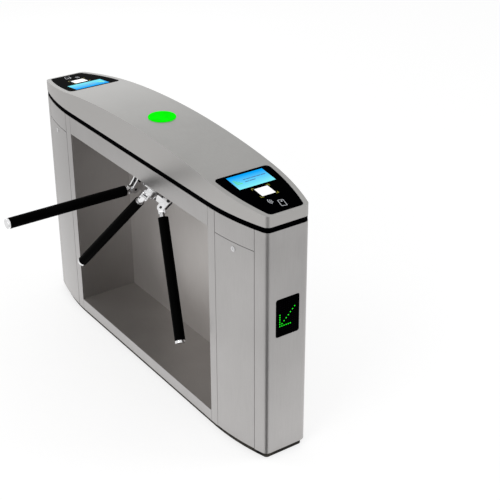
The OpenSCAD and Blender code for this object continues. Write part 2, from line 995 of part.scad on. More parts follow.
// Solid under the lid's surface, from a height up
module lid_solid(z0, inset, drop) {
  intersection() {
    translate([0, 0, z0]) linear_extrude(body_h) plan(inset);
    rotate([90, 0, 0]) translate([0, 0, -mid_w]) linear_extrude(2 * mid_w) lid_profile(drop);
  }
}

// Slab under the near reader face, between two depths
module facet_slab(drop_top, drop_low) {
  x0 = glass_x0 - ledge_w - cut;
  x1 = half_len - sheet_t / 2;
  rotate([90, 0, 0])
    translate([0, 0, -mid_w])
      linear_extrude(2 * mid_w)
        polygon([
          [x0, facet_z(x0) - drop_top], [x1, facet_z(x1) - drop_top],
          [x1, facet_z(x1) - drop_low], [x0, facet_z(x0) - drop_low]
        ]);
}

// Upright prism on the outline of the near reader glass, grown by a margin
module glass_prism(grow) {
  linear_extrude(2 * body_h)
    bow_panel(glass_x0 - grow, glass_x1 + grow, glass_side_margin - grow, glass_corner_r + grow);
}

module glass_ledge() {
  intersection() {
    facet_slab(sheet_t / 2, glass_t + ledge_t);
    difference() {
      glass_prism(ledge_w);
      glass_prism(-ledge_w);
    }
  }
}

module glass_pocket() {
  intersection() {
    facet_slab(-cut, glass_t);
    glass_prism(glass_gap);
  }
}

lens_seat = 0.7;
spigot_d = 88;
spigot_wall = 4;
spigot_h = 10;
status_board_t = 1.6;
led_ring_d = 60;
led_count = 12;
led_d = 5;
led_h = 2;
seat_z = body_h - lens_seat;

module lid_shell() {
  color(steel) {
    difference() {
      union() {
        difference() {
          lid_solid(band_top, 0, 0);
          lid_solid(band_top + sheet_t, sheet_t, sheet_t);
          translate([0, 0, band_top - cut]) linear_extrude(sheet_t + 2 * cut) plan(lip_depth);
        }
        both_ends() glass_ledge();
      }
      both_ends() {
        glass_pocket();
        intersection() {
          glass_prism(-ledge_w);
          facet_slab(-cut, glass_t + ledge_t + cut);
        }
      }
      translate([0, 0, seat_z]) cylinder(lens_seat + cut, d = status_d + 2 * glass_gap);
      translate([0, 0, seat_z - cut]) cylinder(2 * cut, d = spigot_d + 2 * glass_gap);
    }
    for (x = [-hinge_x, hinge_x])
      translate([x, 0, 0]) lid_leaf();
  }
}

module reader_glass() {
  intersection() {
    facet_slab(0, glass_t);
    glass_prism(0);
  }
}

module near_reader_glass() {
  color(black) reader_glass();
}

module far_reader_glass() {
  color(black) far_end() reader_glass();
}

// Modules under the glass: their lengths along the cabinet, widths across and heights
module_gap = 4;
module_pitch_gap = 10;
display_size = [82, 152, 8];
scanner_size = [58, 66, 24];
reader_size = [64, 108, 8];
display_x = glass_x0 + ledge_w + module_gap + display_size[0] / 2;
scanner_x = display_x + display_size[0] / 2 + module_pitch_gap + scanner_size[0] / 2;
reader_x = scanner_x + scanner_size[0] / 2 + module_pitch_gap + reader_size[0] / 2;

module under_glass(x, size) {
  both_ends()
    translate([x, 0, facet_z(x)])
      rotate([0, facet_a, 0])
        translate([0, 0, -glass_t * cos(facet_a) - size[2] / 2]) cube(size, center = true);
}

module display_modules() {
  color(board_green) under_glass(display_x, display_size);
}

module scanner_modules() {
  color(dark_steel) under_glass(scanner_x, scanner_size);
}

module card_readers() {
  color(board_green) under_glass(reader_x, reader_size);
}

module status_lens() {
  color("limegreen") {
    translate([0, 0, seat_z]) cylinder(lens_seat + status_rise, d = status_d);
    translate([0, 0, seat_z - spigot_h])
      difference() {
        cylinder(spigot_h + lens_seat / 2, d = spigot_d);
        translate([0, 0, -cut]) cylinder(spigot_h + cut, d = spigot_d - 2 * spigot_wall);
      }
  }
}

module status_board() {
  color(board_green)
    translate([0, 0, seat_z - spigot_h]) {
      translate([0, 0, -status_board_t]) cylinder(status_board_t, d = spigot_d);
      for (i = [0 : led_count - 1])
        rotate([0, 0, i * 360 / led_count])
          translate([led_ring_d / 2, 0, -status_board_t / 2]) cylinder(status_board_t / 2 + led_h, d = led_d);
    }
}

// Service doors and their locks
lock_z = door_z1 - lock_drop;
lock_x = (door_x0 + door_x1) / 2;
lock_face_t = 1.5;
barrel_d = 16;
barrel_len = 20;
plug_d = 10;
cam_t = 3;
cam_w = 12;
cam_len = 34;
key_w = 1.2;
key_len = 6;

module service_door() {
  difference() {
    union() {
      lipped_skin(door_x0, door_end_x, door_z0, door_z1, door_lip, [1, 1, 0, 1]);
      door_hinge_place()
        for (x = door_starts) hinge_barrel(x, knuckle_r, knuckle_len);
      intersection() {
        linear_extrude(lock_z) plan(sheet_t / 2);
        door_hinge_place()
          for (x = door_starts)
            block([x, -2 * hinge_in, -knuckle_r / 2], [x + knuckle_len, 0, knuckle_r / 2]);
      }
    }
    door_pin_bores();
    on_bow(lock_x, lock_z)
      translate([0, 0, -sheet_t - cut]) cylinder(sheet_t + 2 * cut, d = barrel_d + 2 * run_gap);
  }
}

module near_door() {
  color(steel) service_door();
}

module far_door() {
  color(steel) far_end() service_door();
}

module lock_barrel() {
  on_bow(lock_x, lock_z)
    difference() {
      union() {
        cylinder(lock_face_t, d = lock_face_d);
        translate([0, 0, -barrel_len]) cylinder(barrel_len + lock_face_t / 2, d = barrel_d);
      }
      translate([0, 0, -barrel_len - cut])
        cylinder(barrel_len + lock_face_t + 2 * cut, d = plug_d + 2 * run_gap);
    }
}

module near_lock_barrel() {
  color(bright_steel) lock_barrel();
}

module far_lock_barrel() {
  color(bright_steel) far_end() lock_barrel();
}

module lock_plug() {
  back_z = -barrel_len - pass_gap - cam_t;
  on_bow(lock_x, lock_z)
    difference() {
      union() {
        translate([0, 0, back_z]) cylinder(lock_face_t - back_z, d = plug_d);
        translate([0, 0, back_z]) {
          cylinder(cam_t, d = cam_w);
          translate([0, -cam_w / 2, 0]) cube([cam_len, cam_w, cam_t]);
        }
      }
      translate([-key_w / 2, -key_len / 2, lock_face_t - key_w]) cube([key_w, key_len, key_w + cut]);
    }
}

module near_lock_plug() {
  color(bright_steel) lock_plug();
}

module far_lock_plug() {
  color(bright_steel) far_end() lock_plug();
}

// Hub with three forks. Outlines of the forks lie in the plane of the radius and the axis.
ear_r = 14;
latch_r = 9;
latch_d = 8;
latch_head_d = 12;
latch_head_t = 3;
latch_shares = [1.139, 0.528];
// Corners of an ear as shares of the pin radius: outward from the axis, and along it
ear_shares = [
  [0.49, 0.53], [0.49, 0.70], [0.60, 0.87], [0.805, 0.87], [0.81, 1], [1.19, 1], [1.25, 0.53], [1.01, 0.485]
];
ear_x = tongue_t / 2 + pass_gap;
pin_reach = pin_radius / cos(axis_tilt);
latch_place = pin_radius * latch_shares;

module ear_outline() {
  difference() {
    union() {
      polygon(pin_radius * ear_shares);
      translate([pin_radius, pin_radius]) circle(ear_r);
      translate(latch_place) circle(latch_r);
    }
    translate([pin_radius, pin_radius]) circle(pin_d / 2 + run_gap);
    translate(latch_place) circle(latch_d / 2 + run_gap);
  }
}

// Extrudes an outline of radius and axis across a fork, from x0 over a thickness
module fork_extrude(x0, t) {
  translate([x0, 0, 0]) rotate([90, 180, 90]) linear_extrude(t) children();
}

module three_turns() {
  for (turn = [turn_a, turn_b, turn_c])
    rotate([0, 0, turn]) children();
}

module hub_head() {
  color(bright_steel)
    hub_place() {
      difference() {
        union() {
          translate([0, 0, flange_z0]) cylinder(flange_z1 - flange_z0, d = hub_flange_d);
          translate([0, 0, nose_z]) cylinder(flange_z1 - nose_z, d = nose_d);
        }
        translate([0, 0, hub_bore_z]) cylinder(flange_z1 - hub_bore_z + cut, d = spindle_d + 2 * run_gap);
      }
      three_turns()
        for (x = [-ear_x - ear_t, ear_x])
          fork_extrude(x, ear_t) ear_outline();
    }
}

hub_cap_d = 50;
hub_cap_t = 4;

module hub_cap() {
  color(bright_steel)
    hub_place() translate([0, 0, nose_z - hub_cap_t]) cylinder(hub_cap_t, d = hub_cap_d);
}

module spindle() {
  color("silver")
    hub_place() {
      translate([0, 0, hub_bore_z]) cylinder(spindle_top - hub_bore_z, d = spindle_d);
      translate([0, 0, collar_z]) cylinder(index_z - collar_z, d = spindle_d + 2 * collar_wall);
    }
}

module spindle_nut() {
  color(bright_steel)
    hub_place()
      translate([0, 0, index_z + index_t])
        difference() {
          cylinder(nut_t, d = nut_flats / cos(30), $fn = 6);
          translate([0, 0, -cut]) cylinder(nut_t + 2 * cut, d = spindle_d + 2 * run_gap);
        }
}

module arm_pins() {
  fork_half = ear_x + ear_t;
  color(black)
    hub_place()
      three_turns() {
        fork_extrude(-fork_half - pass_gap, 2 * (fork_half + pass_gap))
          translate([pin_radius, pin_radius]) circle(d = pin_d);
        fork_extrude(-fork_half, 2 * fork_half)
          translate(latch_place) circle(d = latch_d);
        for (x = [-fork_half - latch_head_t, fork_half])
          fork_extrude(x, latch_head_t) translate(latch_place) circle(d = latch_head_d);
      }
}

// Arms
root_r = 13;
root_gap = 4;
arm_wall = 2.5;
root_plug = 14;
spigot_len = 20;
cap_step = 2;
cap_d = arm_tube_d + 2 * cap_step;
tube_start = pin_reach + ear_r + root_gap;
tube_end = arm_len - cap_len;

// Round bar along an arm, between two distances from the meeting point
module arm_bar(from, to, d) {
  translate([0, -from, 0]) rotate([90, 0, 0]) cylinder(to - from, d = d);
}

module arm_body(turn) {
  color(bright_steel)
    arm_place(turn) {
      difference() {
        union() {
          translate([-tongue_t / 2, -pin_reach, 0]) rotate([0, 90, 0]) cylinder(tongue_t, r = root_r);
          block([-tongue_t / 2, -tube_start - root_gap, -root_r], [tongue_t / 2, -pin_reach, root_r]);
        }
        translate([-tongue_t, -pin_reach, 0]) rotate([0, 90, 0]) cylinder(2 * tongue_t, d = pin_d + 2 * run_gap);
      }
      difference() {
        union() {
          arm_bar(tube_start, sleeve_start + root_gap, neck_d);
          arm_bar(sleeve_start, tube_end, arm_tube_d);
        }
        arm_bar(sleeve_start + root_plug, tube_end + cut, arm_tube_d - 2 * arm_wall);
      }
    }
}

module arm_a() {
  arm_body(turn_a);
}

module arm_b() {
  arm_body(turn_b);
}

module arm_c() {
  arm_body(turn_c);
}

module sleeve(turn) {
  color(black)
    arm_place(turn)
      difference() {
        arm_bar(sleeve_start, tube_end, sleeve_d);
        arm_bar(sleeve_start - cut, tube_end + cut, arm_tube_d + 2 * run_gap);
      }
}

module sleeve_a() {
  sleeve(turn_a);
}

module sleeve_b() {
  sleeve(turn_b);
}

module sleeve_c() {
  sleeve(turn_c);
}

module end_cap(turn) {
  color("white")
    arm_place(turn) {
      arm_bar(tube_end, arm_len, cap_d);
      arm_bar(tube_end - spigot_len, tube_end + cap_len / 2, arm_tube_d - 2 * arm_wall - 2 * run_gap);
    }
}

module end_cap_a() {
  end_cap(turn_a);
}

module end_cap_b() {
  end_cap(turn_b);
}

module end_cap_c() {
  end_cap(turn_c);
}

base_frame();
near_frame();
far_frame();
beam_frame();
near_end_skin();
far_end_skin();
front_fascia();
front_sill();
back_panel();
upper_side_panels();
recess_jambs();
recess_back();
recess_floor();
recess_ceiling();
trim_band();
arrow_windows();
arrow_boards();
mech_frame();
mech_cover();
bearing_housing();
spindle_bearings();
housing_bolts();
lock_solenoids();
control_unit();
power_supply();
lid_hinge_pins();
door_hinge_pins();
lid_shell();
near_reader_glass();
far_reader_glass();
display_modules();
scanner_modules();
card_readers();
status_lens();
status_board();
near_door();
far_door();
near_lock_barrel();
far_lock_barrel();
near_lock_plug();
far_lock_plug();
hub_head();
hub_cap();
spindle();
spindle_nut();
index_disc();
arm_pins();
arm_a();
arm_b();
arm_c();
sleeve_a();
sleeve_b();
sleeve_c();
end_cap_a();
end_cap_b();
end_cap_c();
near_pawl();
far_pawl();
near_plunger();
far_plunger();
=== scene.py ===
"""Looks of a tripod turnstile: a long brushed-steel cabinet with a three-armed barrier.

Metres, on the CAD's frame: +X runs to the near end, the arms are on the -Y side, +Z is up.
"""
import json
import math
from contextlib import contextmanager

import bmesh
import bpy
from mathutils import Matrix, Vector


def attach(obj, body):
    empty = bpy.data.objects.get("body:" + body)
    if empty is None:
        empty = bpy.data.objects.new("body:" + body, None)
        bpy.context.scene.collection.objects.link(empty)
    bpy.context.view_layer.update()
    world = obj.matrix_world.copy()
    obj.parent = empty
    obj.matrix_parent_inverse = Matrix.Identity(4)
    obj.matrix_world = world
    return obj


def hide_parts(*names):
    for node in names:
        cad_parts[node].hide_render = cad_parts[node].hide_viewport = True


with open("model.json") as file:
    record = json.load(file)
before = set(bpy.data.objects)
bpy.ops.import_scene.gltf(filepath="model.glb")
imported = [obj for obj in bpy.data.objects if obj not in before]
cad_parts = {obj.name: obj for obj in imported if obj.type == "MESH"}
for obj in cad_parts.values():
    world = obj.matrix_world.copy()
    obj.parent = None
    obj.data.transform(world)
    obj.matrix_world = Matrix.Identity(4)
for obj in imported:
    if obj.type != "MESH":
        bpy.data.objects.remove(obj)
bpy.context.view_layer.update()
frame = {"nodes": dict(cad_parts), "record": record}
nodes = frame["nodes"]


def shift(x, y, z):
    return Matrix.Translation((x, y, z))


def spin(degrees, axis):
    return Matrix.Rotation(math.radians(degrees), 4, axis)


# Places on the cabinet
HALF_LEN = 0.755
END_Z = 0.9305
ARCH_R = 3.675
LID_TOP_Z = 0.999
FACET_X0 = 0.42
ARCH_Z = LID_TOP_Z - ARCH_R + math.sqrt(ARCH_R ** 2 - FACET_X0 ** 2)
FACET_SLOPE = (ARCH_Z - END_Z) / (HALF_LEN - FACET_X0)
FACET_ANGLE = math.atan(FACET_SLOPE)
HUB_PLACE = shift(0, -0.0267, 0.7554) @ spin(-45, "X")
FAR_TURN = spin(180, "Z")
FAR_MIRROR = Matrix.Scale(-1, 4, (1, 0, 0))
FACE_DOWN = spin(180, "X")
FORWARD = spin(90, "X")
REARWARD = spin(-90, "X")


def on_facet(x):
    """Frame on the near reader face: X down the slope, Y across, Z out of the glass."""
    return shift(x, 0, END_Z + FACET_SLOPE * (HALF_LEN - x)) @ Matrix.Rotation(FACET_ANGLE, 4, "Y")


# Camera, floor and light
EYE = Vector((3.4984, -2.0622, 2.6128))
YAW, PITCH, ROLL = (math.radians(a) for a in (55.104, 27.944, -0.139))
FOCAL_PX, FRAME_PX, SENSOR_MM = 1225.0, 500, 36.0
WHITE = (1, 1, 1, 1)
FLOOR_SIZE, FLOOR_Z, CARD_Z = 80, -0.0004, 0.0006
SHEEN_START, SHEEN_END = 0.7, 2.0


def add_camera():
    look = Vector((-math.sin(YAW) * math.cos(PITCH), math.cos(YAW) * math.cos(PITCH), -math.sin(PITCH)))
    level = look.cross(Vector((0, 0, 1))).normalized()
    upright = level.cross(look)
    right = math.cos(ROLL) * level + math.sin(ROLL) * upright
    up = math.cos(ROLL) * upright - math.sin(ROLL) * level
    bpy.ops.object.camera_add()
    camera = bpy.context.object
    turn = Matrix((right, up, -look)).transposed().to_4x4()
    camera.matrix_world = Matrix.Translation(EYE) @ turn
    camera.data.sensor_width = SENSOR_MM
    camera.data.lens = FOCAL_PX / FRAME_PX * SENSOR_MM
    bpy.context.scene.camera = camera


def add_node(tree, kind, settings=None, inputs=None):
    """Adds a shader node. An input is a value, or the socket that feeds it."""
    made = tree.nodes.new("ShaderNode" + kind)
    for key, value in (settings or {}).items():
        setattr(made, key, value)
    for key, value in (inputs or {}).items():
        if isinstance(value, bpy.types.NodeSocket):
            tree.links.new(value, made.inputs[key])
        else:
            made.inputs[key].default_value = value
    return made


def maths(tree, operation, *values):
    return add_node(tree, "Math", {"operation": operation}, dict(enumerate(values))).outputs[0]


def vector_maths(tree, operation, *values):
    return add_node(tree, "VectorMath", {"operation": operation}, dict(enumerate(values))).outputs


def carried(tree, value, low, high, to_low=0.0, to_high=1.0, smooth=False):
    """A value carried from one range over to another."""
    return add_node(tree, "MapRange", {"interpolation_type": "SMOOTHSTEP"} if smooth else None,
                    {"Value": value, "From Min": low, "From Max": high,
                     "To Min": to_low, "To Max": to_high}).outputs[0]


def object_place(tree):
    return add_node(tree, "TexCoord").outputs["Object"]


def seen_mask(tree):
    """One for camera, glossy and transmission rays, which are the rays that show a background."""
    path = add_node(tree, "LightPath").outputs
    direct = maths(tree, "MAXIMUM", path["Is Camera Ray"], path["Is Glossy Ray"])
    return maths(tree, "MAXIMUM", direct, path["Is Transmission Ray"])


def add_world(ambient):
    world = bpy.data.worlds.new("studio")
    bpy.context.scene.world = world
    world.use_nodes = True
    tree = world.node_tree
    tree.nodes.clear()
    strength = carried(tree, seen_mask(tree), 0.0, 1.0, ambient, 1.0)
    sky = add_node(tree, "Background", None, {"Color": WHITE, "Strength": strength})
    add_node(tree, "OutputWorld", None, {"Surface": sky.outputs[0]})


def stage_paint(piece, name):
    paint = bpy.data.materials.new(name)
    paint.use_nodes = True
    paint.node_tree.nodes.clear()
    piece.name = name
    piece.data.materials.append(paint)
    return paint.node_tree


def glow(tree, strength):
    return add_node(tree, "Emission", None, {"Color": WHITE, "Strength": strength}).outputs[0]


def add_floor(own_light, near_light, far_light, albedo):
    """Pale floor. Metal sees it a little brighter close to the cabinet than away from it."""
    bpy.ops.mesh.primitive_plane_add(size=FLOOR_SIZE, location=(0, 0, FLOOR_Z))
    floor = bpy.context.object
    tree = stage_paint(floor, "studio_floor")
    away = vector_maths(tree, "LENGTH", object_place(tree))["Value"]
    mirrored = carried(tree, away, SHEEN_START, SHEEN_END, near_light, far_light)
    path = add_node(tree, "LightPath").outputs
    shown = carried(tree, path["Is Camera Ray"], 0.0, 1.0, mirrored, own_light)
    strength = maths(tree, "MULTIPLY", seen_mask(tree), shown)
    matte = add_node(tree, "BsdfDiffuse", None, {"Color": (albedo, albedo, albedo, 1)})
    both = add_node(tree, "AddShader", None, {0: glow(tree, strength), 1: matte.outputs[0]})
    add_node(tree, "OutputMaterial", None, {"Surface": both.outputs[0]})


def add_floor_card(corner, heading, length, width, grey):
    """Grey three-cornered card on the floor, which only metal sees. It paints a darker reflection down the
    rounded near corner.
    """
    bpy.ops.mesh.primitive_circle_add(vertices=3, radius=1, fill_type="NGON")
    card = bpy.context.object
    turn = math.radians(heading)
    middle = Vector(corner) + 2 / 3 * length * Vector((math.cos(turn), math.sin(turn)))
    card.location = (middle.x, middle.y, CARD_Z)
    card.rotation_euler = (0, 0, turn + math.pi / 2)
    card.scale = (width / math.sqrt(3), 2 / 3 * length, 1)
    bpy.ops.object.transform_apply(location=True, rotation=True, scale=True)
    tree = stage_paint(card, "floor_card")
    add_node(tree, "OutputMaterial", None, {"Surface": glow(tree, grey)})
    for ray in ("camera", "diffuse", "shadow", "transmission"):
        setattr(card, "visible_" + ray, False)


def add_softbox(name, place, aim, size, power):
    bpy.ops.object.light_add(type="AREA", location=place)
    lamp = bpy.context.object
    lamp.name = name
    lamp.data.shape = "SQUARE"
    lamp.data.size = size
    lamp.data.energy = power
    lamp.rotation_euler = (Vector(aim) - Vector(place)).to_track_quat("-Z", "Y").to_euler()


bpy.context.scene.view_settings.view_transform = "Standard"
add_camera()
add_world(ambient=0.68)
add_floor(own_light=0.68, near_light=0.86, far_light=0.52, albedo=0.42)
add_floor_card(corner=(0.745, -0.075), heading=-38, length=2.6, width=2.4, grey=0.20)
add_softbox("key_softbox", place=(2.0, -4.4, 2.6), aim=(0, 0, 0.5), size=2.4, power=52)
add_softbox("left_softbox", place=(-3.0, -2.4, 3.2), aim=(0, 0, 0.8), size=1.5, power=16)
add_softbox("rear_softbox", place=(2.4, 2.8, 3.6), aim=(0, 0, 0.8), size=1.5, power=22)
add_softbox("far_softbox", place=(-4.1, 2.0, 1.7), aim=(-0.3, 0, 0.9), size=1.6, power=3.5)

# Shared surface effects
DUST_SCALE = 26.0
DUST_GREY = (150, 144, 134)
DUST_SHARE, DUST_DULLING = 0.35, 0.2
BUMP_STRENGTH = 0.6
GLOW_PATCHES = 24.0


def effect_group(name, inputs, outputs):
    tree = bpy.data.node_groups.new(name, "ShaderNodeTree")
    for label, kind, value in inputs:
        socket = tree.interface.new_socket(label, in_out="INPUT", socket_type="NodeSocket" + kind)
        socket.default_value = value
    for label in outputs:
        tree.interface.new_socket(label, in_out="OUTPUT", socket_type="NodeSocketFloat")
    entry = tree.nodes.new("NodeGroupInput")
    leave = tree.nodes.new("NodeGroupOutput")
    return tree, entry.outputs, leave.inputs, object_place(tree)


def noise(tree, where, scale, detail, roughness=0.5, distortion=0.0):
    return add_node(tree, "TexNoise", None, {
        "Vector": where, "Scale": scale, "Detail": detail, "Roughness": roughness,
        "Distortion": distortion}).outputs["Fac"]


def cells(tree, where, scale, randomness=1.0, **settings):
    return add_node(tree, "TexVoronoi", settings, {
        "Vector": where, "Scale": scale, "Randomness": randomness}).outputs["Distance"]


def make_brushed_grain():
    """Wide streaks as a mask, and both wide and tight streaks as a height."""
    tree, given, out, where = effect_group("brushed_grain", [
        ("Stretch", "Vector", (1, 1, 0.03)), ("Fineness", "Float", 700.0)], ["Streaks", "Height"])
    drawn = vector_maths(tree, "MULTIPLY", where, given["Stretch"])[0]
    wide = noise(tree, drawn, given["Fineness"], 4.0, 0.65)
    tight = noise(tree, drawn, maths(tree, "MULTIPLY", given["Fineness"], 3.1), 2.0)
    tree.links.new(carried(tree, wide, 0.3, 0.7), out["Streaks"])
    tree.links.new(maths(tree, "MULTIPLY_ADD", tight, 0.6, wide), out["Height"])
    return tree


def make_handling_smudges():
    tree, given, out, where = effect_group("handling_smudges", [("Scale", "Float", 5.0)], ["Mask"])
    cloud = noise(tree, where, given["Scale"], 5.0, 0.55, 0.4)
    tree.links.new(carried(tree, cloud, 0.32, 0.68, smooth=True), out["Mask"])
    return tree


def make_floor_dust():
    """Patchy dust that fades out with height above the floor."""
    tree, given, out, where = effect_group("floor_dust", [("Reach", "Float", 0.12)], ["Mask"])
    height = add_node(tree, "SeparateXYZ", None, {"Vector": where}).outputs["Z"]
    fade = carried(tree, height, given["Reach"], 0.0, smooth=True)
    patches = carried(tree, noise(tree, where, DUST_SCALE, 6.0), 0.3, 0.8)
    tree.links.new(maths(tree, "MULTIPLY", fade, patches), out["Mask"])
    return tree


def make_orange_peel():
    tree, given, out, where = effect_group("orange_peel", [("Fineness", "Float", 900.0)], ["Height"])
    domes = cells(tree, where, given["Fineness"], feature="SMOOTH_F1")
    grain = noise(tree, where, given["Fineness"], 2.0)
    tree.links.new(maths(tree, "ADD", domes, grain), out["Height"])
    return tree


def make_board_tracks():
    """Masks the edges of square cells as tracks, and a dot in some cells as a pad."""
    tree, given, out, where = effect_group("board_tracks", [("Scale", "Float", 90.0)], ["Mask"])
    scale, loose = given["Scale"], 0.8
    second = cells(tree, where, scale, loose, distance="CHEBYCHEV", feature="F2")
    first = cells(tree, where, scale, loose, distance="CHEBYCHEV")
    track = carried(tree, maths(tree, "SUBTRACT", second, first), 0.07, 0.03)
    pad = carried(tree, cells(tree, where, scale, loose), 0.10, 0.08)
    tree.links.new(maths(tree, "MAXIMUM", track, pad), out["Mask"])
    return tree


BRUSHED = make_brushed_grain()
SMUDGES = make_handling_smudges()
DUST = make_floor_dust()
PEEL = make_orange_peel()
TRACKS = make_board_tracks()


def grouped(tree, group, **values):
    made = tree.nodes.new("ShaderNodeGroup")
    made.node_tree = group
    for key, value in values.items():
        made.inputs[key].default_value = value
    return made.outputs


def blend_colours(tree, share, first, second):
    return add_node(tree, "Mix", {"data_type": "RGBA"}, {0: share, 6: first, 7: second}).outputs[2]


def linear(levels):
    """Shader colour of an sRGB colour given from 0 to 255."""
    def one(level):
        share = level / 255
        return share / 12.92 if share <= 0.04045 else ((share + 0.055) / 1.055) ** 2.4
    return (*map(one, levels), 1)


def shader_of(finish):
    return finish.node_tree.nodes["Principled BSDF"].inputs


def recolour(finish, share, colour):
    """Lays a colour over a finish's own colour, by a share."""
    base = shader_of(finish)["Base Color"]
    tree = finish.node_tree
    tree.links.new(blend_colours(tree, share, base.links[0].from_socket, linear(colour)), base)
    return finish


def make_finish(name, dark, light, rough, metallic=0.0, stretch=None, fineness=700.0, relief=0.00002,
                smudge=5.0, dust=0.0, specular=0.5):
    """A finish between two colours and two roughnesses. stretch gives it a brushed grain,
    and without stretch it has the fine relief of paint or moulded plastic."""
    finish = bpy.data.materials.new(name)
    finish.use_nodes = True
    tree = finish.node_tree
    shader = shader_of(finish)
    tone = grouped(tree, SMUDGES, Scale=smudge)["Mask"]
    if stretch:
        grain = grouped(tree, BRUSHED, Stretch=stretch, Fineness=fineness)
        streaks = maths(tree, "MULTIPLY", grain["Streaks"], 0.55)
        tone = maths(tree, "MULTIPLY_ADD", tone, 0.45, streaks)
    else:
        grain = grouped(tree, PEEL, Fineness=fineness)
    colour = blend_colours(tree, tone, linear(dark), linear(light))
    dulled = carried(tree, tone, 0.0, 1.0, *rough)
    if dust:
        mask = grouped(tree, DUST, Reach=dust)["Mask"]
        share = maths(tree, "MULTIPLY", mask, DUST_SHARE)
        colour = blend_colours(tree, share, colour, linear(DUST_GREY))
        dulled = maths(tree, "MULTIPLY_ADD", mask, DUST_DULLING, dulled)
    bump = add_node(tree, "Bump", None, {
        "Height": grain["Height"], "Strength": BUMP_STRENGTH, "Distance": relief})
    tree.links.new(colour, shader["Base Color"])
    tree.links.new(dulled, shader["Roughness"])
    tree.links.new(bump.outputs[0], shader["Normal"])
    shader["Metallic"].default_value = metallic
    shader["Specular IOR Level"].default_value = specular
    return finish


def light_up(finish, dark, light, strength=1.0, along=None, span=None):
    """Makes a finish glow between two colours, by patches or along one axis."""
    tree = finish.node_tree
    shader = shader_of(finish)
    if along is None:
        share = grouped(tree, SMUDGES, Scale=GLOW_PATCHES)["Mask"]
    else:
        reach = vector_maths(tree, "DOT_PRODUCT", object_place(tree), along)["Value"]
        share = carried(tree, reach, *span)
    tree.links.new(blend_colours(tree, share, linear(dark), linear(light)), shader["Emission Color"])
    shader["Emission Strength"].default_value = strength
    return finish


def paint_upright_lighter(finish, colour):
    """Paints the faces that stand upright lighter than the level ones, as painted light, by the slope of the
    shading normal.
    """
    tree = finish.node_tree
    facing = add_node(tree, "SeparateXYZ", None, {"Vector": add_node(tree, "TexCoord").outputs["Normal"]})
    steep = maths(tree, "ABSOLUTE", facing.outputs["Z"])
    return recolour(finish, carried(tree, steep, 0.75, 0.15, smooth=True), colour)


def print_tracks(finish, colour, scale):
    """Draws thin tracks and round pads over a circuit board."""
    return recolour(finish, grouped(finish.node_tree, TRACKS, Scale=scale)["Mask"], colour)


UPRIGHT_GRAIN = (1, 1, 0.02)
LEVEL_GRAIN = (0.02, 1, 1)
EVEN_GRAIN = (1, 1, 1)

panel_steel = make_finish("panel_steel", (161, 159, 158), (175, 173, 172), (0.32, 0.38), 1.0, UPRIGHT_GRAIN,
                          dust=0.05, smudge=3.0)
# Lid steel: its top is painted darker than the panel steel as painted shade, and its upright faces are
# painted lighter below as painted light.
lid_steel_painted_shading = make_finish("lid_steel_painted_shading", (150, 149, 147), (164, 163, 161), (0.34, 0.40), 1.0, LEVEL_GRAIN,
                        smudge=3.0)
# Painted light: the lid's upright faces, its skirt and ends, are painted lighter than its top.
paint_upright_lighter(lid_steel_painted_shading, (177, 175, 173))
recess_steel = make_finish("recess_steel", (176, 172, 169), (190, 186, 183), (0.34, 0.42), 0.75,
                           UPRIGHT_GRAIN, smudge=4.0)
# Recess floor and ceiling: the recess steel painted darker, as painted shade inside the recess.
shelf_steel_painted_shade = make_finish("shelf_steel_painted_shade", (146, 142, 139), (160, 156, 153), (0.34, 0.42), 0.75, LEVEL_GRAIN,
                          smudge=4.0)
frame_paint = make_finish("frame_paint", (44, 45, 47), (60, 61, 63), (0.45, 0.62), dust=0.2)
plinth_paint = make_finish("plinth_paint", (8, 8, 9), (17, 17, 18), (0.4, 0.6), dust=0.05, specular=0.05)
trim_black = make_finish("trim_black", (0, 0, 1), (3, 3, 4), (0.34, 0.46), specular=0.001, fineness=1400.0,
                         relief=0.000008)
glass_black = make_finish("glass_black", (0, 0, 1), (2, 2, 3), (0.04, 0.10), specular=0.0004, fineness=60.0,
                          relief=0.000002)
window_black = make_finish("window_black", (0, 0, 1), (2, 2, 3), (0.05, 0.12), specular=0.001, fineness=60.0,
                           relief=0.000002)
board = make_finish("board", (8, 62, 32), (16, 84, 46), (0.35, 0.5), specular=0.4, fineness=500.0)
print_tracks(board, (96, 132, 70), 90.0)
mech_steel = make_finish("mech_steel", (140, 141, 143), (176, 177, 178), (0.30, 0.46), 1.0, LEVEL_GRAIN,
                         smudge=14.0)
cast_alloy = make_finish("cast_alloy", (138, 138, 139), (168, 168, 168), (0.42, 0.58), 1.0, fineness=1500.0,
                         relief=0.00006, smudge=18.0)
hub_steel = make_finish("hub_steel", (205, 205, 206), (235, 235, 236), (0.10, 0.20), 1.0, EVEN_GRAIN,
                        fineness=400.0, relief=0.000008, smudge=30.0)
arm_steel = make_finish("arm_steel", (200, 200, 201), (230, 230, 231), (0.12, 0.22), 1.0, EVEN_GRAIN,
                        fineness=500.0, relief=0.000008, smudge=26.0)
pin_steel = make_finish("pin_steel", (165, 165, 167), (205, 205, 207), (0.18, 0.30), 1.0, LEVEL_GRAIN,
                        smudge=40.0)
pin_black = make_finish("pin_black", (6, 6, 7), (15, 15, 16), (0.28, 0.42), specular=0.3, smudge=60.0)
sleeve_black = make_finish("sleeve_black", (0, 0, 0), (3, 3, 3), (0.42, 0.58), specular=0.012,
                           fineness=1100.0, relief=0.00003, smudge=9.0)
cap_chrome = make_finish("cap_chrome", (215, 215, 216), (240, 240, 241), (0.08, 0.16), 1.0, EVEN_GRAIN,
                         fineness=600.0, relief=0.000004, smudge=50.0)
lock_chrome = make_finish("lock_chrome", (185, 185, 186), (215, 215, 216), (0.14, 0.24), 1.0, EVEN_GRAIN,
                          fineness=900.0, relief=0.000006, smudge=60.0)
unit_case = make_finish("unit_case", (74, 76, 80), (96, 98, 102), (0.38, 0.52), 0.6, smudge=16.0)
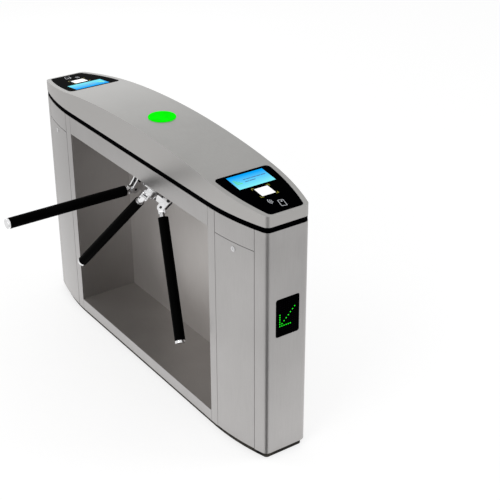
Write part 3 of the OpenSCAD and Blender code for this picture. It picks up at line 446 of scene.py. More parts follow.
module_case = make_finish("module_case", (26, 27, 29), (40, 41, 43), (0.42, 0.56), smudge=20.0)
copper_winding = make_finish("copper_winding", (130, 66, 30), (178, 98, 52), (0.25, 0.4), 0.8, (1, 0.02, 1),
                             fineness=1500.0)
connector_white = make_finish("connector_white", (206, 203, 194), (226, 223, 214), (0.4, 0.55), smudge=50.0)
terminal_green = make_finish("terminal_green", (30, 120, 58), (44, 146, 74), (0.34, 0.46), smudge=60.0)
lens_green = make_finish("lens_green", (0, 30, 0), (0, 46, 1), (0.24, 0.32), specular=0.001, fineness=300.0,
                         relief=0.00001)
light_up(lens_green, (0, 244, 0), (0, 255, 2))
led_green = make_finish("led_green", (0, 70, 10), (0, 90, 16), (0.2, 0.3), specular=0.1)
light_up(led_green, (6, 250, 6), (36, 255, 40))
led_off = make_finish("led_off", (2, 3, 3), (6, 8, 7), (0.25, 0.4), specular=0.02)
screen_glow, far_screen_glow = (
    light_up(make_finish(name, (2, 6, 10), (4, 10, 16), (0.06, 0.12), specular=0.0006, fineness=60.0,
                         relief=0.000002), (4, 168, 255), (132, 240, 250), 1.0, (way, 0, 0), (0.508, 0.576))
    for name, way in (("screen_glow", 1), ("far_screen_glow", -1)))
screen_green = make_finish("screen_green", (4, 40, 4), (6, 60, 6), (0.1, 0.2))
light_up(screen_green, (44, 208, 60), (96, 236, 66))
screen_blue = make_finish("screen_blue", (2, 20, 40), (4, 26, 50), (0.1, 0.2))
light_up(screen_blue, (2, 62, 128), (8, 78, 146))
scan_white = make_finish("scan_white", (60, 60, 60), (70, 70, 70), (0.1, 0.2))
light_up(scan_white, (246, 246, 244), (255, 255, 255), 0.96)
mark_yellow = make_finish("mark_yellow", (148, 142, 8), (186, 178, 20), (0.3, 0.4), specular=0.2)
mark_white = make_finish("mark_white", (196, 198, 204), (226, 228, 232), (0.3, 0.4), specular=0.2)

# Modelling helpers
UP, DOWN, FRONT = Vector((0, 0, 1)), Vector((0, 0, -1)), Vector((0, -1, 0))
RIGHT, LEFT = Vector((1, 0, 0)), Vector((-1, 0, 0))
FACING = 0.9
ROUNDED_ANGLE, SMOOTH_ANGLE, FLAT_ANGLE = (math.radians(angle) for angle in (30, 40, 0.3))
WELD = 0.00002
SIDES = (-1, 1)


def take(piece):
    bpy.ops.object.select_all(action="DESELECT")
    piece.select_set(True)
    bpy.context.view_layer.objects.active = piece


def start(name, add, **options):
    """Adds a primitive with nothing else selected, names it, and settles its place into its mesh."""
    bpy.ops.object.select_all(action="DESELECT")
    add(**options)
    piece = bpy.context.object
    piece.name = piece.data.name = name
    bpy.ops.object.transform_apply(location=True, rotation=True, scale=True)
    return piece


def block(name, low, high):
    low, high = Vector(low), Vector(high)
    return start(name, bpy.ops.mesh.primitive_cube_add, size=1, location=(low + high) / 2, scale=high - low)


def drum(name, radius, z_low, z_high, sides=40):
    return start(name, bpy.ops.mesh.primitive_cylinder_add, vertices=sides, radius=radius,
                 depth=z_high - z_low, location=(0, 0, (z_low + z_high) / 2))


@contextmanager
def editing(piece, kind="FACE"):
    take(piece)
    bpy.ops.object.mode_set(mode="EDIT")
    bpy.ops.mesh.select_mode(type=kind)
    bpy.ops.mesh.select_all(action="DESELECT")
    yield
    bpy.ops.object.mode_set(mode="OBJECT")


def pick_faces(piece, *ways):
    """Selects the faces that look one of the given ways."""
    shape = bmesh.from_edit_mesh(piece.data)
    shape.normal_update()
    for face in shape.faces:
        face.select_set(any(face.normal.dot(way) > FACING for way in ways))
    bmesh.update_edit_mesh(piece.data)


def pick_open_edges(piece):
    shape = bmesh.from_edit_mesh(piece.data)
    for edge in shape.edges:
        edge.select_set(len(edge.link_faces) == 1)
    bmesh.update_edit_mesh(piece.data)


def pick_all():
    bpy.ops.mesh.select_all(action="SELECT")


def face_outward():
    pick_all()
    bpy.ops.mesh.normals_make_consistent(inside=False)


def sink(piece, way, margin, depth):
    """Insets the faces that look one way and pushes them in by a depth. A negative depth raises them."""
    with editing(piece):
        pick_faces(piece, way)
        bpy.ops.mesh.inset(thickness=margin, depth=-depth)


def shade(piece):
    """Shades a piece smoothly between its sharp edges, with the large faces kept flat."""
    take(piece)
    bpy.ops.object.shade_smooth_by_angle(angle=SMOOTH_ANGLE)
    evened = piece.modifiers.new("evened", "WEIGHTED_NORMAL")
    evened.keep_sharp = True
    bpy.ops.object.modifier_apply(modifier=evened.name)
    return piece


def soften(piece, width, steps=2):
    """Rounds the sharp edges, and shades the piece smoothly between them."""
    take(piece)
    rounding = piece.modifiers.new("rounding", "BEVEL")
    rounding.width = width
    rounding.segments = steps
    rounding.limit_method = "ANGLE"
    rounding.angle_limit = ROUNDED_ANGLE
    rounding.use_clamp_overlap = True
    rounding.harden_normals = False
    bpy.ops.object.modifier_apply(modifier=rounding.name)
    return shade(piece)


def settle(piece, place):
    """Moves a piece to its place, keeping its object at the origin."""
    take(piece)
    piece.matrix_world = place
    bpy.ops.object.transform_apply(location=True, rotation=True, scale=True)
    if place.determinant() < 0:
        with editing(piece):
            face_outward()
    return piece


def twin(piece, name, place):
    """A copy with its own mesh, at another place."""
    copy = piece.copy()
    copy.data = piece.data.copy()
    copy.name = copy.data.name = name
    bpy.context.scene.collection.objects.link(copy)
    return settle(copy, place)


def joined(name, pieces):
    take(pieces[0])
    for piece in pieces:
        piece.select_set(True)
    bpy.ops.object.join()
    whole = bpy.context.object
    whole.name = whole.data.name = name
    return whole


def repeated(name, piece, places):
    """A copy of a piece at each place, joined into one."""
    copies = [twin(piece, "copy", place) for place in places]
    bpy.data.objects.remove(piece)
    return joined(name, copies)


def dress(piece, body, finish, stands_for=()):
    piece.data.materials.clear()
    piece.data.materials.append(finish)
    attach(piece, body)
    if stands_for:
        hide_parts(*stands_for)
    return piece


def dress_pair(piece, place, body, finish, stands_for=(), far_finish=None):
    """Dresses a near piece, and its copy at the far end."""
    dress(piece, body, finish, stands_for)
    far = twin(piece, piece.name.replace("near", "far"), place)
    dress(far, body, far_finish or finish, stands_for)


def rounded_plate(name, length, width, radius, z_low, z_high, steps=5):
    """Flat plate with round corners: a plane with bevelled corners, drawn up to its thickness."""
    plate = start(name, bpy.ops.mesh.primitive_plane_add, size=1, location=(0, 0, z_low))
    settle(plate, Matrix.Diagonal((length, width, 1, 1)))
    with editing(plate, "VERT"):
        pick_all()
        bpy.ops.mesh.bevel(offset=radius, segments=steps, affect="VERTICES")
        bpy.ops.mesh.select_mode(type="FACE")
        pick_all()
        bpy.ops.mesh.extrude_region_move(TRANSFORM_OT_translate={"value": (0, 0, z_high - z_low)})
        face_outward()
    return plate


def arc(name, radius, wire, sweep, flatness=0.12):
    """Flat arc about the origin, centred on -Y: a ring cut by two planes."""
    ring = start(name, bpy.ops.mesh.primitive_torus_add, major_radius=radius, minor_radius=wire / 2,
                 major_segments=48, minor_segments=6)
    with editing(ring):
        pick_all()
        bpy.ops.transform.resize(value=(1, 1, flatness))
        for side in SIDES:
            lean = side * math.radians(sweep / 2)
            pick_all()
            outward = (side * math.cos(lean), side * math.sin(lean), 0)
            bpy.ops.mesh.bisect(plane_co=(0, 0, 0), plane_no=outward, use_fill=True, clear_outer=True)
    return ring


def pierce(piece, margin):
    """Insets the top and the bottom and opens a passage between them."""
    with editing(piece):
        pick_faces(piece, UP, DOWN)
        bpy.ops.mesh.inset(thickness=margin)
        bpy.ops.mesh.delete(type="FACE")
    with editing(piece, "EDGE"):
        pick_open_edges(piece)
        bpy.ops.mesh.bridge_edge_loops()
        face_outward()
    return piece


def cut(piece, cutter):
    """Takes one shape out of another."""
    take(piece)
    away = piece.modifiers.new("cut", "BOOLEAN")
    away.operation = "DIFFERENCE"
    away.solver = "EXACT"
    away.object = cutter
    bpy.ops.object.modifier_apply(modifier=away.name)
    bpy.data.objects.remove(cutter)
    return piece


def make_screw(name, radius, height):
    """Button-head screw standing on Z 0, with a hex socket."""
    screw = soften(drum(name, radius, 0, height, 28), height * 0.45, 3)
    return shade(cut(screw, drum("socket", radius * 0.48, height * 0.4, height * 2, 6)))


def make_circuit(name, length, width, thickness, inset, bore):
    """Circuit board with its top on Z 0 and a hole near each corner."""
    plate = rounded_plate(name, length, width, 0.0020, -thickness, 0)
    places = [shift(x * (length / 2 - inset), y * (width / 2 - inset), 0) for x in SIDES for y in SIDES]
    cut(plate, repeated("drills", drum("drill", bore, -2 * thickness, thickness, 20), places))
    return soften(plate, 0.00015, 1), places


LEG_PITCH, LEG_INSET, LEG_WIDTH, LEG_REACH, LEG_TOP = 0.0016, 0.0006, 0.0005, 0.0010, 0.0004
SEAT, LIP = 0.0002, 0.0006


def make_chips(name, spots):
    """Packages on Z 0 at spots of x, y, length, width and height, and the legs under them."""
    packages, legs = [], []
    for x, y, length, width, height in spots:
        low_x, low_y, high_y = x - length / 2, y - width / 2, y + width / 2
        package = block("package", (low_x, low_y, SEAT), (x + length / 2, high_y, height))
        sink(package, UP, LIP, 0.00015)
        packages.append(soften(package, 0.0002, 1))
        leg = block("leg", (low_x + LEG_INSET, low_y - LEG_REACH, 0),
                    (low_x + LEG_INSET + LEG_WIDTH, high_y + LEG_REACH, LEG_TOP))
        soften(leg, 0.0001, 1)
        count = int((length - LEG_REACH) / LEG_PITCH)
        legs.append(repeated("legs", leg, [shift(LEG_PITCH * step, 0, 0) for step in range(count)]))
    return joined(name + "_packages", packages), joined(name + "_legs", legs)


def make_plug_socket(name, pins, pitch, height, half_width=0.0028, half_pin=0.0003):
    """Open plug socket on Z 0 with a row of pins along X."""
    half = (pins + 1) * pitch / 2
    shell = block(name, (-half, -half_width, 0), (half, half_width, height))
    sink(shell, UP, LIP, height * 0.7)
    soften(shell, 0.0002, 1)
    pin = block("pin", (-half_pin, -half_pin, height * 0.25), (half_pin, half_pin, height * 0.85))
    soften(pin, 0.0001, 1)
    steps = [shift((step - (pins - 1) / 2) * pitch, 0, 0) for step in range(pins)]
    return shell, repeated(name + "_pins", pin, steps)


def body_of(node):
    for body, members in frame["record"]["behaviour"]["bodies"].items():
        if node in members:
            return body
    raise ValueError(node)


def refine(node, finish, width, steps=2):
    """Stands a copy of a CAD node in its place, with its edges rounded."""
    copy = nodes[node].copy()
    copy.data = nodes[node].data.copy()
    copy.name = copy.data.name = node + "_finished"
    copy.parent = None
    bpy.context.scene.collection.objects.link(copy)
    if copy.data.has_custom_normals:
        take(copy)
        bpy.ops.mesh.customdata_custom_splitnormals_clear()
    with editing(copy):
        pick_all()
        bpy.ops.mesh.remove_doubles(threshold=WELD)
        bpy.ops.mesh.dissolve_limited(angle_limit=FLAT_ANGLE)
    soften(copy, width, steps)
    return dress(copy, body_of(node), finish, (node,))


# Pieces of the CAD, each with the width and the steps of its rounded edges
for members, finish, slot, width, steps in (
        ("near_end_skin far_end_skin", panel_steel, "panel_steel", 0.0009, 2),
        ("front_fascia front_sill back_panel", panel_steel, "panel_steel", 0.0008, 2),
        ("upper_side_panels near_door far_door", panel_steel, "panel_steel", 0.0008, 2),
        ("recess_jambs", panel_steel, "recess_steel", 0.0008, 2),
        ("lid_shell", lid_steel_painted_shading, "panel_steel", 0.0016, 3),
        ("trim_band", trim_black, "trim_black", 0.0006, 2),
        ("base_frame", plinth_paint, "plinth_paint", 0.0008, 2),
        ("recess_back mech_cover", recess_steel, "recess_steel", 0.0005, 2),
        ("recess_floor recess_ceiling", shelf_steel_painted_shade, "recess_steel", 0.0005, 2),
        ("near_frame far_frame beam_frame", frame_paint, "frame_paint", 0.0012, 2),
        ("lid_hinge_pins door_hinge_pins near_plunger far_plunger", pin_steel, "pin_steel", 0.0004, 2),
        ("near_reader_glass far_reader_glass", glass_black, "glass_black", 0.0004, 2),
        ("near_lock_barrel far_lock_barrel", lock_chrome, "lock_chrome", 0.0004, 2),
        ("near_lock_plug far_lock_plug", lock_chrome, "lock_chrome", 0.0002, 2),
        ("status_lens", lens_green, "lens_green", 0.0012, 3),
        ("hub_head hub_cap", hub_steel, "hub_steel", 0.0010, 3),
        ("arm_a arm_b arm_c", arm_steel, "arm_steel", 0.0012, 3),
        ("sleeve_a sleeve_b sleeve_c", sleeve_black, "sleeve_black", 0.0010, 3),
        ("end_cap_a end_cap_b end_cap_c", cap_chrome, "cap_chrome", 0.0016, 3),
        ("mech_frame", mech_steel, "mech_steel", 0.0008, 2),
        ("bearing_housing", cast_alloy, "cast_alloy", 0.0010, 2),
        ("spindle_bearings housing_bolts", pin_steel, "pin_steel", 0.0006, 2),
        ("spindle", pin_steel, "pin_steel", 0.0008, 2),
        ("spindle_nut", mech_steel, "mech_steel", 0.0010, 2),
        ("index_disc near_pawl far_pawl", mech_steel, "mech_steel", 0.0006, 2)):
    for node in members.split():
        refine(node, finish, width, steps)

# Hex sockets in the arm pins
PIN_X, PIN_Y, PIN_Z = 0.0180, -0.0820, -0.0380
SOCKET_R, SOCKET_REACH = 0.0031, 0.0018

arm_pins = refine("arm_pins", pin_black, 0.0006)
for arm_turn in (0, 120, 240):
    for side in SIDES:
        socket = drum("socket", SOCKET_R, -SOCKET_REACH, SOCKET_REACH, 6)
        across = shift(side * PIN_X, PIN_Y, PIN_Z) @ spin(90, "Y")
        cut(arm_pins, settle(socket, HUB_PLACE @ spin(arm_turn, "Z") @ across))
shade(arm_pins)

# Screws on the hub's nose
NOSE_R, NOSE_Z = 0.017, -0.0658

nose_screw = make_screw("hub_cap_screws", 0.0030, 0.0016)
nose_screws = repeated("hub_cap_screws", nose_screw, [
    HUB_PLACE @ spin(30 + 120 * step, "Z") @ shift(NOSE_R, 0, NOSE_Z) @ FACE_DOWN for step in range(3)])
dress(nose_screws, "hub", pin_steel)

# Latch solenoids
LINK_X, LINK_Z = 0.0840, 0.0600
YOKE_LOW, YOKE_HIGH = (0.0751, -0.0280, 0.0401), (0.0929, 0.0120, 0.0689)
GAP_LOW, GAP_HIGH = (0.0700, -0.0262, 0.0428), (0.0980, 0.0102, 0.0720)
BOBBIN_ENDS, BOBBIN_BORE, FLANGE_R = (-0.0261, 0.0101), 0.0052, 0.0088


def solenoid_drum(name, radius, bore, y_low, y_high):
    """Hollow drum round the plunger of the near latch, in the hub's frame."""
    tube = pierce(drum(name, radius, y_low, y_high), radius - bore)
    return settle(tube, shift(LINK_X, 0, LINK_Z) @ REARWARD)


def make_solenoid():
    yoke = block("near_solenoid_yoke", YOKE_LOW, YOKE_HIGH)
    cut(yoke, block("window", GAP_LOW, GAP_HIGH))
    drill = drum("drill", 0.0053, -0.005, 0.005)
    cut(yoke, settle(drill, shift(LINK_X, YOKE_LOW[1], LINK_Z) @ REARWARD))
    soften(yoke, 0.0004)
    winding = soften(solenoid_drum("near_solenoid_winding", 0.0082, 0.0060, -0.0246, 0.0086), 0.0005)
    low, high = BOBBIN_ENDS
    bobbin = [solenoid_drum("bobbin", 0.0060, BOBBIN_BORE, low, high),
              solenoid_drum("flange", FLANGE_R, BOBBIN_BORE, low, low + 0.0014),
              solenoid_drum("flange", FLANGE_R, BOBBIN_BORE, high - 0.0014, high)]
    return yoke, winding, soften(joined("near_solenoid_bobbin", bobbin), 0.0002, 1)


for piece, finish in zip(make_solenoid(), (mech_steel, copper_winding, connector_white)):
    settle(piece, HUB_PLACE)
    dress_pair(piece, FAR_MIRROR, "cabinet", finish, ("lock_solenoids",))

# Reader faces
SCREEN_X, SCREEN_Y, SCAN_X, SCAN_Y, CARD_X = 0.541, 0.0050, 0.6215, 0.0032, 0.692
PANE_LOW, PANE_TOP = -0.0012, 0.00006
PRINT_LOW, PRINT_TOP = -0.0006, 0.00012
BAR_LENGTHS, BAR_WIDTH = (0.009, 0.014, 0.019, 0.024), 0.0036
BAR_PITCH, BARS_X, BARS_Y = 0.0078, -0.014, -0.063
DASH_WIDTH, DASH_UNIT = 0.0038, 0.001
DASH_ROWS = {-0.0078: ((-26, 11), (-13, 17), (6, 19), (27, 15), (44, 18)), 0.0060: ((-27, 15), (-10, 24))}
MARK_LONG, MARK_SHORT, MARK_WIDE, MARK_X, MARK_Y = 0.0110, 0.0105, 0.0021, 0.0298, 0.0345
WAVE_R, WAVE_STEP, WAVE_WIRE, WAVE_SWEEP = 0.0100, 0.0056, 0.0020, 84


def turned(x, y, turn=0):
    return shift(x, y, 0) @ spin(turn, "Z")


def printed(name, length, width, radius):
    return rounded_plate(name, length, width, radius, PRINT_LOW, PRINT_TOP)


def make_screen():
    """Lit panel with plain bars and dashes in place of writing."""
    panel = rounded_plate("near_screen", 0.0794, 0.142, 0.001, PANE_LOW, PANE_TOP)
    sink(panel, UP, 0.0008, 0.00003)
    bars = [settle(printed("bar", BAR_WIDTH, length, 0.0012),
                   turned(BARS_X + BAR_PITCH * number, BARS_Y + length / 2))
            for number, length in enumerate(BAR_LENGTHS)]
    dashes = [settle(printed("dash", DASH_WIDTH, run * DASH_UNIT, 0.0008),
                     turned(x, (low + run / 2) * DASH_UNIT))
              for x, row in DASH_ROWS.items() for low, run in row]
    return panel, joined("near_screen_bars", bars), joined("near_screen_dashes", dashes)


def make_scan_marks():
    """Lit scanner window, and the four corner marks round it."""
    pane = rounded_plate("near_scan_window", 0.0473, 0.0528, 0.0015, PANE_LOW, PANE_TOP)
    sink(pane, UP, 0.0006, 0.00002)
    marks = []
    for x in SIDES:
        for y in SIDES:
            mark = block("mark", (-MARK_SHORT, -MARK_WIDE, PRINT_LOW), (0, 0, PRINT_TOP))
            leg = block("mark_leg", (-MARK_WIDE, -MARK_LONG, PRINT_LOW), (0, -MARK_WIDE, PRINT_TOP))
            flip = Matrix.Diagonal((x, y, 1, 1))
            marks.append(settle(joined("mark", [mark, leg]), shift(x * MARK_X, y * MARK_Y, 0) @ flip))
    return pane, joined("near_scan_marks", marks)


def make_card_symbol():
    """Waves beside the outline of a card with its contact."""
    waves = [settle(arc("wave", WAVE_R + WAVE_STEP * number, WAVE_WIRE, WAVE_SWEEP),
                    turned(-0.0105, -0.0040)) for number in range(3)]
    card = pierce(printed("card", 0.0360, 0.0210, 0.0030), 0.0020)
    contact = settle(printed("contact", 0.0060, 0.0050, 0.0010), turned(-0.0090, 0.0010))
    tilted = [settle(piece, turned(0.0130, 0.0110, -12)) for piece in (card, contact)]
    return joined("near_card_symbol", waves + tilted)


screen, screen_bars, screen_dashes = make_screen()
scan_window, scan_marks = make_scan_marks()
for piece, finish, slot, x, y in (
        (screen, screen_glow, "module_case", SCREEN_X, SCREEN_Y),
        (screen_bars, screen_green, "lens_green", SCREEN_X, SCREEN_Y),
        (screen_dashes, screen_blue, "module_case", SCREEN_X, SCREEN_Y),
        (scan_window, scan_white, "module_case", SCAN_X, SCAN_Y),
        (scan_marks, mark_yellow, "module_case", SCAN_X, SCAN_Y),
        (make_card_symbol(), mark_white, "module_case", CARD_X, 0)):
    settle(piece, on_facet(x) @ turned(0, y))
    dress_pair(piece, FAR_TURN, "lid", finish,
               far_finish=far_screen_glow if finish is screen_glow else None)

# Arrow windows
WINDOW_WIDE, WINDOW_TALL, WINDOW_Z, WINDOW_ROUND, WINDOW_CLEAR = 0.095, 0.143, 0.551, 0.008, 0.0003
FLANGE_LAP, FLANGE_THICK = 0.002, 0.003
FACE_X, SKIN_X, ARROW_BOARD_X = 0.7546, 0.753, 0.7420
DOT_PITCH, LEG_DOTS, TAIL_DOTS, DOT_Y, DOT_Z = 0.0085, 6, 8, -0.0305, 0.519


def on_end(y, z):
    """Frame on the near window's face: X along +Y, Y up, Z out of the window."""
    return shift(FACE_X, y, z) @ Matrix(((0, 0, 1, 0), (1, 0, 0, 0), (0, 1, 0, 0), (0, 0, 0, 1)))


def make_window():
    back = SKIN_X - FACE_X
    front = rounded_plate("near_arrow_window", WINDOW_WIDE - 2 * WINDOW_CLEAR, WINDOW_TALL - 2 * WINDOW_CLEAR,
                          WINDOW_ROUND, back, 0, 8)
    sink(front, UP, 0.0012, 0.0003)
    soften(front, 0.0003)
    flange = rounded_plate("window_flange", WINDOW_WIDE + 2 * FLANGE_LAP, WINDOW_TALL + 2 * FLANGE_LAP,
                           WINDOW_ROUND + FLANGE_LAP, back - FLANGE_THICK, back, 8)
    return settle(joined("near_arrow_window", [front, flange]), on_end(0, WINDOW_Z))


def make_dots(name, places, radius, depth, place):
    """Rows of small domed lamps."""
    bead = drum("bead", radius, -depth, 0.0001, 12)
    sink(bead, UP, radius * 0.35, -0.00018)
    spots = [shift(across * DOT_PITCH, up * DOT_PITCH, 0) for across, up in places]
    return settle(repeated(name, bead, spots), place)


legs = {(0, step) for step in range(LEG_DOTS)} | {(step, 0) for step in range(LEG_DOTS)}
lit = sorted(legs | {(step, step) for step in range(TAIL_DOTS)})
unlit = [(across, up) for across in range(-1, 9) for up in range(-4, 12) if (across, up) not in lit]
behind = shift(0, 0, ARROW_BOARD_X - FACE_X)
on_board = on_end(0, WINDOW_Z) @ behind
arrow_at = on_end(DOT_Y, DOT_Z)

dress_pair(make_window(), FAR_MIRROR, "cabinet", window_black, ("arrow_windows",))
for name, places, radius, finish, slot in (("near_arrow_dots", lit, 0.0022, led_green, "lens_green"),
                                           ("near_unlit_dots", unlit, 0.0012, led_off, "board")):
    dress_pair(make_dots(name, places, radius, 0.0007, arrow_at), FAR_MIRROR, "cabinet", finish)

circuit, holes = make_circuit("near_arrow_circuit", 0.0948, 0.1428, 0.0019, 0.008, 0.0017)
studs = repeated("near_arrow_studs", soften(drum("stud", 0.0030, 0, 0.0079, 6), 0.0003), holes)
lamps = make_dots("near_arrow_lamps", lit, 0.0020, 0, arrow_at @ behind)
shell, pins = make_plug_socket("near_arrow_plug", 6, 0.0022, 0.0050)
for piece in (shell, pins):
    settle(piece, turned(0.004, -0.064))
for piece in (circuit, studs, shell, pins):
    settle(piece, on_board)
for piece, finish, slot in ((circuit, board, "board"), (studs, pin_steel, "pin_steel"),
                            (lamps, led_green, "lens_green"), (shell, connector_white, "board"),
                            (pins, pin_steel, "pin_steel")):
    dress_pair(piece, FAR_MIRROR, "cabinet", finish, ("arrow_boards",))

# Modules under the glass
BOARD_THICK, BOARD_INSET, BOARD_BORE, PLUG_PITCH = 0.0016, 0.004, 0.0016, 0.0022
DISPLAY_TOP, READER_TOP = -0.0077, -0.0052
AERIAL_LOOPS, AERIAL_STEP, AERIAL_LOW, AERIAL_TOP = 5, 0.0036, -0.00695, -0.00675


def make_module(name, length, width, top, screw_height, spots, pin_count, plug_height, plug_at):
    """Circuit board below the glass, with screws, chips and a plug socket on its underside."""
    circuit, holes = make_circuit(name + "_circuit", length, width, BOARD_THICK, BOARD_INSET, BOARD_BORE)
    settle(circuit, shift(0, 0, top))
    under = shift(0, 0, top - BOARD_THICK) @ FACE_DOWN
    screw = make_screw("screw", 0.0027, screw_height)
    screws = repeated(name + "_screws", screw, [place @ under for place in holes])
    packages, legs = make_chips(name, spots)
    shell, pins = make_plug_socket(name + "_plug", pin_count, PLUG_PITCH, plug_height)
    for piece in (shell, pins):
        settle(piece, plug_at)
    for piece in (packages, legs, shell, pins):
        settle(piece, under)
    return holes, [(circuit, board, "board"), (screws, pin_steel, "pin_steel"),
                   (packages, module_case, "module_case"), (legs, pin_steel, "pin_steel"),
                   (shell, connector_white, "board"), (pins, pin_steel, "pin_steel")]


def make_display():
    tray = rounded_plate("near_display_tray", 0.0818, 0.1518, 0.0020, -0.0076, -0.0040)
    sink(tray, UP, 0.0040, 0.0010)
    sink(tray, DOWN, 0.0060, 0.0006)
    soften(tray, 0.0004)
    spots = ((-0.012, -0.030, 0.016, 0.014, 0.0019), (0.014, 0.012, 0.012, 0.009, 0.0016),
             (-0.014, 0.034, 0.009, 0.006, 0.0015))
    holes, module = make_module("near_display", 0.0760, 0.1440, DISPLAY_TOP, 0.0013, spots, 8, 0.0025,
                                turned(0.022, -0.048, 90))
    return [(tray, mech_steel, "board")] + module


def make_scanner():
    case = block("near_scanner_case", (-0.0293, -0.0328, -0.0200), (0.0283, 0.0328, -0.0041))
    sink(case, UP, 0.0022, 0.0022)
    sink(case, DOWN, 0.0048, -0.0076)
    sink(case, DOWN, 0.0040, 0.0008)
    soften(case, 0.0008, 3)
    lens = drum("near_scanner_lens", 0.0110, -0.0064, -0.0048)
    sink(lens, UP, 0.0016, 0.0006)
    soften(lens, 0.0003)
    lenses = repeated("near_scanner_lens", lens, [turned(-0.0005, y * 0.014) for y in SIDES])
    shell, pins = make_plug_socket("near_scanner_plug", 6, 0.0020, 0.0050)
    for piece in (shell, pins):
        settle(piece, shift(0, 0.0290, -0.0198) @ FACE_DOWN)
    return [(case, module_case, "module_case"), (lenses, glass_black, "module_case"),
            (shell, connector_white, "module_case"), (pins, pin_steel, "pin_steel")]


def make_card_reader():
    spots = ((-0.010, -0.027, 0.012, 0.010, 0.0018), (0.012, -0.026, 0.008, 0.005, 0.0015))
    holes, module = make_module("near_reader", 0.0638, 0.1078, READER_TOP, 0.0016, spots, 6, 0.0044,
                                turned(0, -0.044))
    post = soften(drum("post", 0.0030, READER_TOP - 0.0001, -0.0041, 6), 0.0002)
    posts = repeated("near_reader_posts", post, holes)
    loops = []
    for number in range(AERIAL_LOOPS):
        shrink = AERIAL_STEP * number
        loop = rounded_plate("loop", 0.0560 - shrink, 0.0620 - shrink, 0.0040, AERIAL_LOW, AERIAL_TOP, 4)
        loops.append(pierce(loop, 0.0007))
    aerial = settle(joined("near_reader_aerial", loops), turned(0, -0.017))
    return module + [(posts, pin_steel, "pin_steel"), (aerial, copper_winding, "board")]


for node, x, pieces in (("display_modules", SCREEN_X, make_display()),
                        ("scanner_modules", SCAN_X, make_scanner()),
                        ("card_readers", CARD_X, make_card_reader())):
    for piece, finish, slot in pieces:
        settle(piece, on_facet(x))
        dress_pair(piece, FAR_TURN, "lid", finish, (node,))

# Light ring under the status lens
RING_TOP, RING_R, RING_LAMPS = 0.9883, 0.030, 12

ring_board = drum("status_circuit", 0.0438, RING_TOP - 0.0015, RING_TOP, 64)
cut(ring_board, drum("drill", 0.0040, RING_TOP - 0.01, RING_TOP + 0.01, 24))
soften(ring_board, 0.0002)
lamp = soften(drum("lamp", 0.0025, 0, 0.0019, 16), 0.0008, 3)
ring = [spin(360 / RING_LAMPS * step, "Z") @ shift(RING_R, 0, RING_TOP) for step in range(RING_LAMPS)]
ring_lamps = repeated("status_lamps", lamp, ring)
packages, legs = make_chips("status", [(0, y, 0.008, 0.005, 0.0014) for y in (0.013, -0.013)])
for piece in (packages, legs):
    settle(piece, shift(0, 0, RING_TOP))
for piece, finish, slot in ((ring_board, board, "board"), (ring_lamps, led_green, "lens_green"),
                            (packages, module_case, "module_case"), (legs, pin_steel, "pin_steel")):
    dress(piece, "lid", finish, ("status_board",))

# Control unit in the near pedestal, power supply in the far one
UNIT = shift(0.570, 0, 0.008)
CASE_X, CASE_FRONT, CASE_BACK, CASE_FOOT, PANEL_Y = 0.0298, -0.0440, 0.0498, 0.0002, -0.0430
FIN_PITCH, FINS = 0.0074, 13
TERMINAL_X, TERMINAL_PITCH, TERMINAL_COLUMNS, TERMINAL_ROWS = -0.0230, 0.0048, 9, (0.020, 0.045, 0.205)
SUPPLY_PITCH, SUPPLY_COLUMNS, SUPPLY_X = 0.0068, 7, -0.0220
SLOT_CUTS, SLOT_RIM, SLOT_MARGIN, SLOT_DEPTH = 7, 0.0050, 0.0013, 0.0009


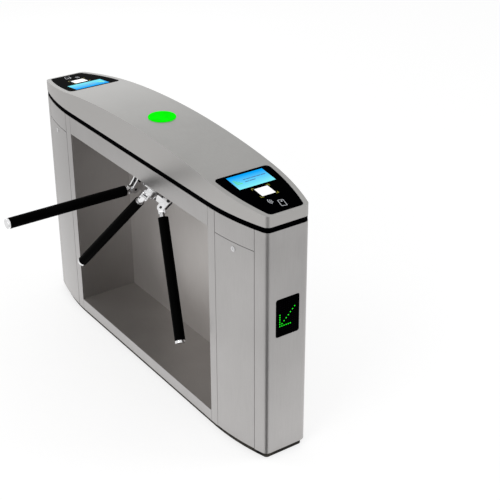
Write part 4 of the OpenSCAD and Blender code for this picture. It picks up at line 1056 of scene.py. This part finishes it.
def make_control_unit():
    case = block("control_case", (-CASE_X, CASE_FRONT, CASE_FOOT), (0.0240, CASE_BACK, 0.2498))
    sink(case, FRONT, 0.0030, 0.0010)
    soften(case, 0.0010, 3)
    fin = soften(block("fin", (0.0230, -0.0415, 0.0060), (CASE_X, -0.0400, 0.2440)), 0.0003)
    fins = repeated("control_fins", fin, [shift(0, FIN_PITCH * step, 0) for step in range(FINS)])
    terminal = block("terminal", (-0.0024, -0.0496, 0), (0.0024, -0.0428, 0.0100))
    sink(terminal, FRONT, 0.0010, 0.0024)
    sink(terminal, UP, 0.0010, 0.0020)
    soften(terminal, 0.0002, 1)
    terminals = repeated("control_terminals", terminal, [
        shift(TERMINAL_X + TERMINAL_PITCH * step, 0, z)
        for z in TERMINAL_ROWS for step in range(TERMINAL_COLUMNS)])
    port = block("port", (-0.0085, -0.0480, 0), (0.0085, -0.0428, 0.0135))
    sink(port, FRONT, 0.0012, 0.0042)
    soften(port, 0.0003)
    ports = repeated("control_ports", port, [shift(x, 0, z) for x in (-0.014, 0.008) for z in (0.080, 0.104)])
    lamp = soften(drum("lamp", 0.0015, 0, 0.0028, 16), 0.0009, 3)
    lamps = repeated("control_lamps", lamp, [
        shift(-0.016 + 0.008 * step, PANEL_Y, 0.150) @ FORWARD for step in range(4)])
    screws = repeated("control_screws", make_screw("control_screws", 0.0026, 0.0014), [
        shift(x, PANEL_Y, z) @ FORWARD for x in (-0.024, 0.018) for z in (0.008, 0.242)])
    return ((case, unit_case, "unit_case"), (fins, unit_case, "unit_case"),
            (terminals, terminal_green, "board"), (ports, module_case, "module_case"),
            (lamps, led_green, "lens_green"), (screws, pin_steel, "pin_steel"))


def make_power_supply():
    """Supply with a slotted cover, modelled at the near end and turned to the far one."""
    cover = block("supply_cover", (-CASE_X, CASE_FRONT, CASE_FOOT), (CASE_X, CASE_BACK, 0.1498))
    for way in (FRONT, RIGHT, LEFT):
        with editing(cover):
            pick_faces(cover, way)
            bpy.ops.mesh.inset(thickness=SLOT_RIM)
            bpy.ops.mesh.subdivide(number_cuts=SLOT_CUTS)
            bpy.ops.mesh.inset(thickness=SLOT_MARGIN, depth=-SLOT_DEPTH, use_individual=True)
    shade(cover)
    terminal = block("terminal", (-0.0032, -0.0497, 0), (0.0032, -0.0420, 0.0130))
    sink(terminal, FRONT, 0.0012, 0.0020)
    soften(terminal, 0.0003, 1)
    columns = [SUPPLY_X + SUPPLY_PITCH * step for step in range(SUPPLY_COLUMNS)]
    terminals = repeated("supply_terminals", terminal, [shift(x, 0, 0.006) for x in columns])
    screws = repeated("supply_screws", make_screw("supply_screws", 0.0019, 0.0012), [
        shift(x, -0.0477, 0.0125) @ FORWARD for x in columns])
    return ((cover, mech_steel, "unit_case"), (terminals, module_case, "module_case"),
            (screws, pin_steel, "pin_steel"))


for piece, finish, slot in make_control_unit():
    dress(settle(piece, UNIT), "cabinet", finish, ("control_unit",))
for piece, finish, slot in make_power_supply():
    dress(settle(piece, FAR_TURN @ UNIT), "cabinet", finish, ("power_supply",))
